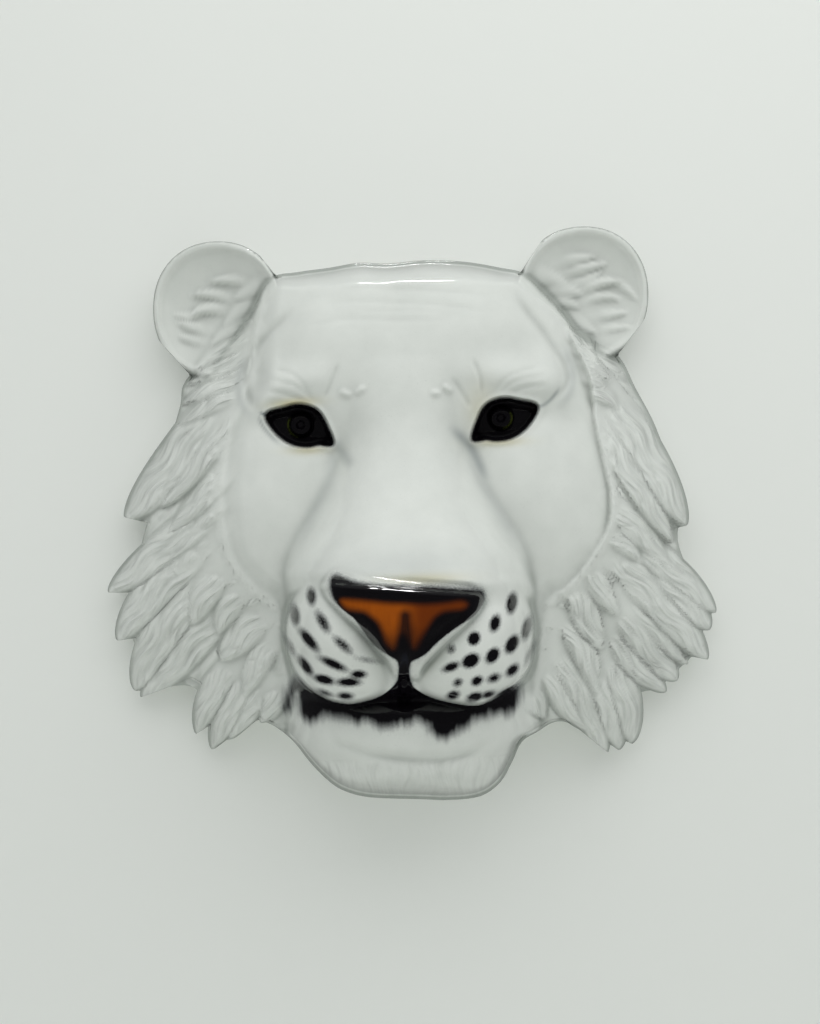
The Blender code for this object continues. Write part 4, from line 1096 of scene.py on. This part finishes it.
# black of the mouth, crisp along the lip and brushed out downwards through the hair of the chin
tufted = add(tree, "TexNoise", {"Vector": stretch, "Scale": TUFTS_PER_M, "Detail": 2.0})
drawn = add(tree, "Math", [tufted, 2.5, 0.5], operation="MULTIPLY_ADD")
drawn = add(tree, "MapRange", [drawn, 1.25, 2.25, -3.0, 3.0])
drawn = add(tree, "Math", [drawn, kept["mouth_mm"]], operation="ADD")
brushed_on = add(tree, "MapRange", [drawn, -8.0, 5.0, 0.0, 1.0], interpolation_type="SMOOTHSTEP")
lip = add(tree, "MapRange", [kept["lip_mm"], -0.2, 1.0, 0.0, 1.0], interpolation_type="SMOOTHSTEP")
brushed_on = add(tree, "Math", [brushed_on, lip], operation="MULTIPLY")

# the orange pad, rustier on its right half, with a dark line up its middle
mottled = add(tree, "MapRange", [streaks, 0.3, 0.8, 0.0, 0.25])
dark_line = add(tree, "MapRange", [kept["septum"], 0.1, 0.9, 0.0, 0.9])
amber = linear(NOSE_AMBER)
for cover, tone in ((kept["right_half"], NOSE_RUST), (mottled, NOSE_RUST), (dark_line, UNDERGLAZE_BLACK)):
    amber = add(tree, "Mix", {0: cover, 6: amber, 7: linear(tone)}, 2, data_type="RGBA")

# the thin green bow in each eye
bow = add(tree, "MapRange", [kept["iris_mm"], -0.4, 1.1, 0.0, 0.9], interpolation_type="SMOOTHSTEP")

# the colours one over another, where black runs out to blue in its thin edges
inks = [add(tree, "Mix", {0: cover, 6: linear(BLACK_THINNED), 7: linear(UNDERGLAZE_BLACK)}, 2,
            data_type="RGBA") for cover in (sprayed_on, brushed_on)]
colour = linear(GLAZE_WHITE)
# the pooled glaze in the hollows and between strands is partly painted shade, and so is some of the grey
for cover, tone in (
    (pooled_shaded_and_mottled, linear(GLAZE_POOLED_AND_SHADED)), (kept["warm"], linear(WARM_TINT)),
    (kept["grey_and_shade"], linear(AIRBRUSH_GREY_AND_SHADE)), (dots, linear(BLACK_THINNED)), (sprayed_on, inks[0]),
    (brushed_on, inks[1]), (kept["orange"], amber), (bow, linear(IRIS_GREEN)),
):
    colour = add(tree, "Mix", {0: cover, 6: colour, 7: tone}, 2, data_type="RGBA")
tree.links.new(colour, surface.inputs["Base Color"])

# in each eye a domed iris, a sunken pupil and the rolled edge of the lids, in mm of height
dome = add(tree, "MapRange", [kept["off_iris_mm"], 8.0, 12.5, 4.5, 0.0], interpolation_type="SMOOTHSTEP")
pupil = add(tree, "MapRange", [kept["off_iris_mm"], 2.0, 4.8, -3.4, 0.0], interpolation_type="SMOOTHSTEP")
lids = add(tree, "MapRange", [kept["eye_mm"], -4.2, -0.4, 3.6, 0.0], interpolation_type="SMOOTHSTEP")
eye_relief = add(tree, "Math", [dome, pupil], operation="ADD")
eye_relief = add(tree, "Math", [eye_relief, lids], operation="ADD")

# combed hair, the eyes' relief, and a faint orange-peel swell 6 mm across
swells = add(tree, "TexNoise", {"Vector": where, "Scale": SWELLS_PER_M, "Detail": 1.0})
normal = add(tree, "Bump", {"Height": hair, "Strength": 0.9, "Distance": 0.005})
normal = add(tree, "Bump", {"Height": eye_relief, "Strength": 1.0, "Distance": 0.001, "Normal": normal})
normal = add(tree, "Bump", {"Height": swells, "Strength": 0.12, "Distance": 0.0006, "Normal": normal})
tree.links.new(normal, surface.inputs["Normal"])
gloss = add(tree, "MapRange", [mottle, 0.0, 0.12, 0.05, 0.1])
tree.links.new(gloss, surface.inputs["Roughness"])
head_mesh.materials.append(glaze)


# ----------------------------------------------------------------------------------------------------
# The bare back
# Biscuit earthenware, unglazed where the shell was poured and where its edge stood in the kiln: matt,
# chalky and a little pink.
BISCUIT = "D9CFC2"
BISCUIT_DARK = "BFB2A3"
# how many clouds of darker clay and how many pits fit in a metre
PATCHES_PER_M = 22.0
PITS_PER_M = 700.0

biscuit = bpy.data.materials.new("bare_earthenware")
biscuit.use_nodes = True
tree = biscuit.node_tree
surface = tree.nodes["Principled BSDF"]
surface.inputs["Roughness"].default_value = 0.82
where = add(tree, "TexCoord", out="Object")
clouds = add(tree, "TexNoise", {"Vector": where, "Scale": PATCHES_PER_M, "Detail": 6.0})
clouds = add(tree, "MapRange", [clouds, 0.35, 0.65, 0.0, 1.0])
colour = add(tree, "Mix", {0: clouds, 6: linear(BISCUIT), 7: linear(BISCUIT_DARK)}, 2, data_type="RGBA")
tree.links.new(colour, surface.inputs["Base Color"])
pits = add(tree, "TexNoise", {"Vector": where, "Scale": PITS_PER_M, "Detail": 3.0})
normal = add(tree, "Bump", {"Height": pits, "Strength": 0.35, "Distance": 0.0005})
tree.links.new(normal, surface.inputs["Normal"])
head_mesh.materials.append(biscuit)


# ----------------------------------------------------------------------------------------------------
# The hanging shelf
# A slab of the same clay, luted across the top of the back before firing, with a hole for one hook.
SHELF_TURNS = 160
SHELF_ROUND = 2.0
SHELF_HALF_WIDTH = 45.0
SHELF_FROM, SHELF_TO = 80.0, 125.0
SHELF_THICK = 8.0
HOLE_AT = 93.0
HOLE_RADIUS = 6.0


def holed_slab(turns, reach):
    """A slab with a round hole as one closed ring: round the hole by angle, and across by a loop that
    goes up the hole, out over the front, down the rounded rim and back over the wall side."""
    angle = np.linspace(0, 2 * np.pi, turns, endpoint=False)[:, None]
    c = np.cos(angle)
    s = np.sin(angle)
    high = np.where(s > 0, SHELF_TO - HOLE_AT, HOLE_AT - SHELF_FROM)
    corner = (np.abs(c / SHELF_HALF_WIDTH) ** 14 + np.abs(s / high) ** 14) ** (-1 / 14)
    turn = np.linspace(0, np.pi / 2, 5)[None, :]
    lip_out = np.concatenate([np.sin(turn), np.cos(turn)], axis=1)
    lip_up = np.concatenate([1 - np.cos(turn), np.sin(turn) + (SHELF_THICK / reach - 2) + 1], axis=1)
    out = np.concatenate([
        np.full((turns, 3), HOLE_RADIUS), np.full((turns, 1), HOLE_RADIUS + 1.0),
        corner - reach + reach * lip_out[:, ::-1], np.full((turns, 1), HOLE_RADIUS + 1.0),
    ], axis=1)
    tall = np.concatenate([
        np.full((turns, 1), 0.8), np.full((turns, 1), SHELF_THICK / 2),
        np.full((turns, 1), SHELF_THICK - 0.8), np.full((turns, 1), SHELF_THICK),
        np.tile(reach * lip_up[:, ::-1], (turns, 1)), np.zeros((turns, 1)),
    ], axis=1)
    x = out * c
    y = HOLE_AT + out * s
    return np.stack([x - HANG_AT[0], -tall, y - HANG_AT[1]], axis=-1) / 1000


slab = holed_slab(SHELF_TURNS, SHELF_ROUND)
rows, columns = slab.shape[:2]
at = np.arange(rows * columns).reshape(rows, columns)
ahead = np.roll(at, -1, axis=0)
faces = np.stack([at, ahead, np.roll(ahead, -1, axis=1), np.roll(at, -1, axis=1)], axis=-1)
shelf_mesh = bpy.data.meshes.new("hanging_shelf")
shelf_mesh.from_pydata(slab.reshape(-1, 3).tolist(), [], faces.reshape(-1, 4).tolist())
shelf_mesh.polygons.foreach_set("use_smooth", np.ones(rows * columns, bool))
shelf_mesh.update()
shelf_mesh.materials.append(biscuit)
hanging_shelf = bpy.data.objects.new("hanging_shelf", shelf_mesh)
bpy.context.scene.collection.objects.link(hanging_shelf)
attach(hanging_shelf, "root")


# ----------------------------------------------------------------------------------------------------
# The stage
# A plain pale wall behind the mask and a plain pale floor below it. The wall shows from its front only
# and lets the room's light by, so that the open back can be looked at too. Neither is mirrored in the glaze.
STAGE_PAINT = "F0F2EE"
WALL_Y = 0.0006
FLOOR_Z = -1.2


def flat_sheet(name, corners, shown):
    mesh = bpy.data.meshes.new(name)
    mesh.from_pydata(corners, [], [(0, 1, 2, 3)])
    mesh.materials.append(shown)
    sheet = bpy.data.objects.new(name, mesh)
    sheet.visible_glossy = False
    bpy.context.scene.collection.objects.link(sheet)
    return sheet


for name in ("pale_paint", "pale_paint_one_sided"):
    paint = bpy.data.materials.new(name)
    paint.use_nodes = True
    tree = paint.node_tree
    surface = tree.nodes["Principled BSDF"]
    surface.inputs["Base Color"].default_value = linear(STAGE_PAINT)
    surface.inputs["Roughness"].default_value = 0.7
behind = add(tree, "NewGeometry", out="Backfacing")
clear = add(tree, "BsdfTransparent")
choice = add(tree, "MixShader", [behind, surface.outputs[0], clear])
tree.links.new(choice, tree.nodes["Material Output"].inputs["Surface"])

wall = flat_sheet("stage_wall", [(x, WALL_Y, z) for x, z in ((-3, -1.2), (3, -1.2), (3, 2.4), (-3, 2.4))],
                  bpy.data.materials["pale_paint_one_sided"])
wall.visible_diffuse = False
wall.visible_shadow = False
flat_sheet("stage_floor", [(x, y, FLOOR_Z) for x, y in ((-3, -4), (3, -4), (3, 3), (-3, 3))],
           bpy.data.materials["pale_paint"])


# ----------------------------------------------------------------------------------------------------
# Light and camera
# Soft daylight from high in front, a little from the right, which doesn't show in the glaze, and two
# narrow lamps on the wall above that do nothing but glint in it. The camera stands square to the wall,
# at the distance that the layout is drawn for.
# name, place, aim, size, watts and whether it is a glint
LAMPS = [
    ("daylight", (0.3, -0.95, 0.8), (0, 0, -0.2), (2.2, 1.2), 8.0, False),
    ("glint_left", (-0.03, -0.03, 0.8), (-0.03, -1.0, 0.8), (0.07, 0.7), 12.0, True),
    ("glint_right", (0.07, -0.03, 0.8), (0.07, -1.0, 0.8), (0.07, 0.7), 12.0, True),
]
FRAME_PX = (820, 1024)
MM_PER_PX = 0.88
CAMERA_ROLL = np.radians(1.8)
SENSOR_MM = 36.0

for name, place, aim, size, power, glint in LAMPS:
    light = bpy.data.lights.new(name, "AREA")
    light.shape = "RECTANGLE"
    light.size, light.size_y = size
    light.energy = power
    lamp = bpy.data.objects.new(name, light)
    lamp.location = place
    lamp.visible_glossy = glint
    lamp.visible_diffuse = not glint
    toward = np.array(aim) - np.array(place)
    lamp.rotation_euler = (float(np.arctan2(np.hypot(toward[0], toward[1]), -toward[2])), 0.0,
                           float(np.arctan2(toward[1], toward[0]) - np.pi / 2))
    bpy.context.scene.collection.objects.link(lamp)

# a pale room that lights evenly, but is dim in reflections except overhead
world = bpy.data.worlds.new("pale_room")
world.use_nodes = True
tree = world.node_tree
toward = add(tree, "TexCoord", out="Generated")
upward = add(tree, "SeparateXYZ", [toward], "Z")
dim = add(tree, "MapRange", [upward, 0.4, 1.0, 0.06, 0.25])
pale_light = add(tree, "MapRange", [upward, -1.0, 1.0, 0.07, 0.95])
mirrored = add(tree, "LightPath", out="Is Glossy Ray")
strength = add(tree, "Mix", {0: mirrored, 2: pale_light, 3: dim}, data_type="FLOAT")
tree.nodes["Background"].inputs["Color"].default_value = linear("F4F7F6")
tree.links.new(strength, tree.nodes["Background"].inputs["Strength"])
bpy.context.scene.world = world
bpy.context.scene.view_settings.view_transform = "Standard"

lens = bpy.data.cameras.new("camera")
lens.sensor_width = SENSOR_MM
lens.lens = SENSOR_MM * VIEW_MM / (FRAME_PX[1] * MM_PER_PX)
camera = bpy.data.objects.new("camera", lens)
camera.location = ((VIEW_AXIS[0] - HANG_AT[0]) / 1000, -VIEW_MM / 1000,
                   (VIEW_AXIS[1] - HANG_AT[1]) / 1000)
camera.rotation_euler = (np.pi / 2, CAMERA_ROLL, 0.0)
bpy.context.scene.collection.objects.link(camera)
bpy.context.scene.camera = camera
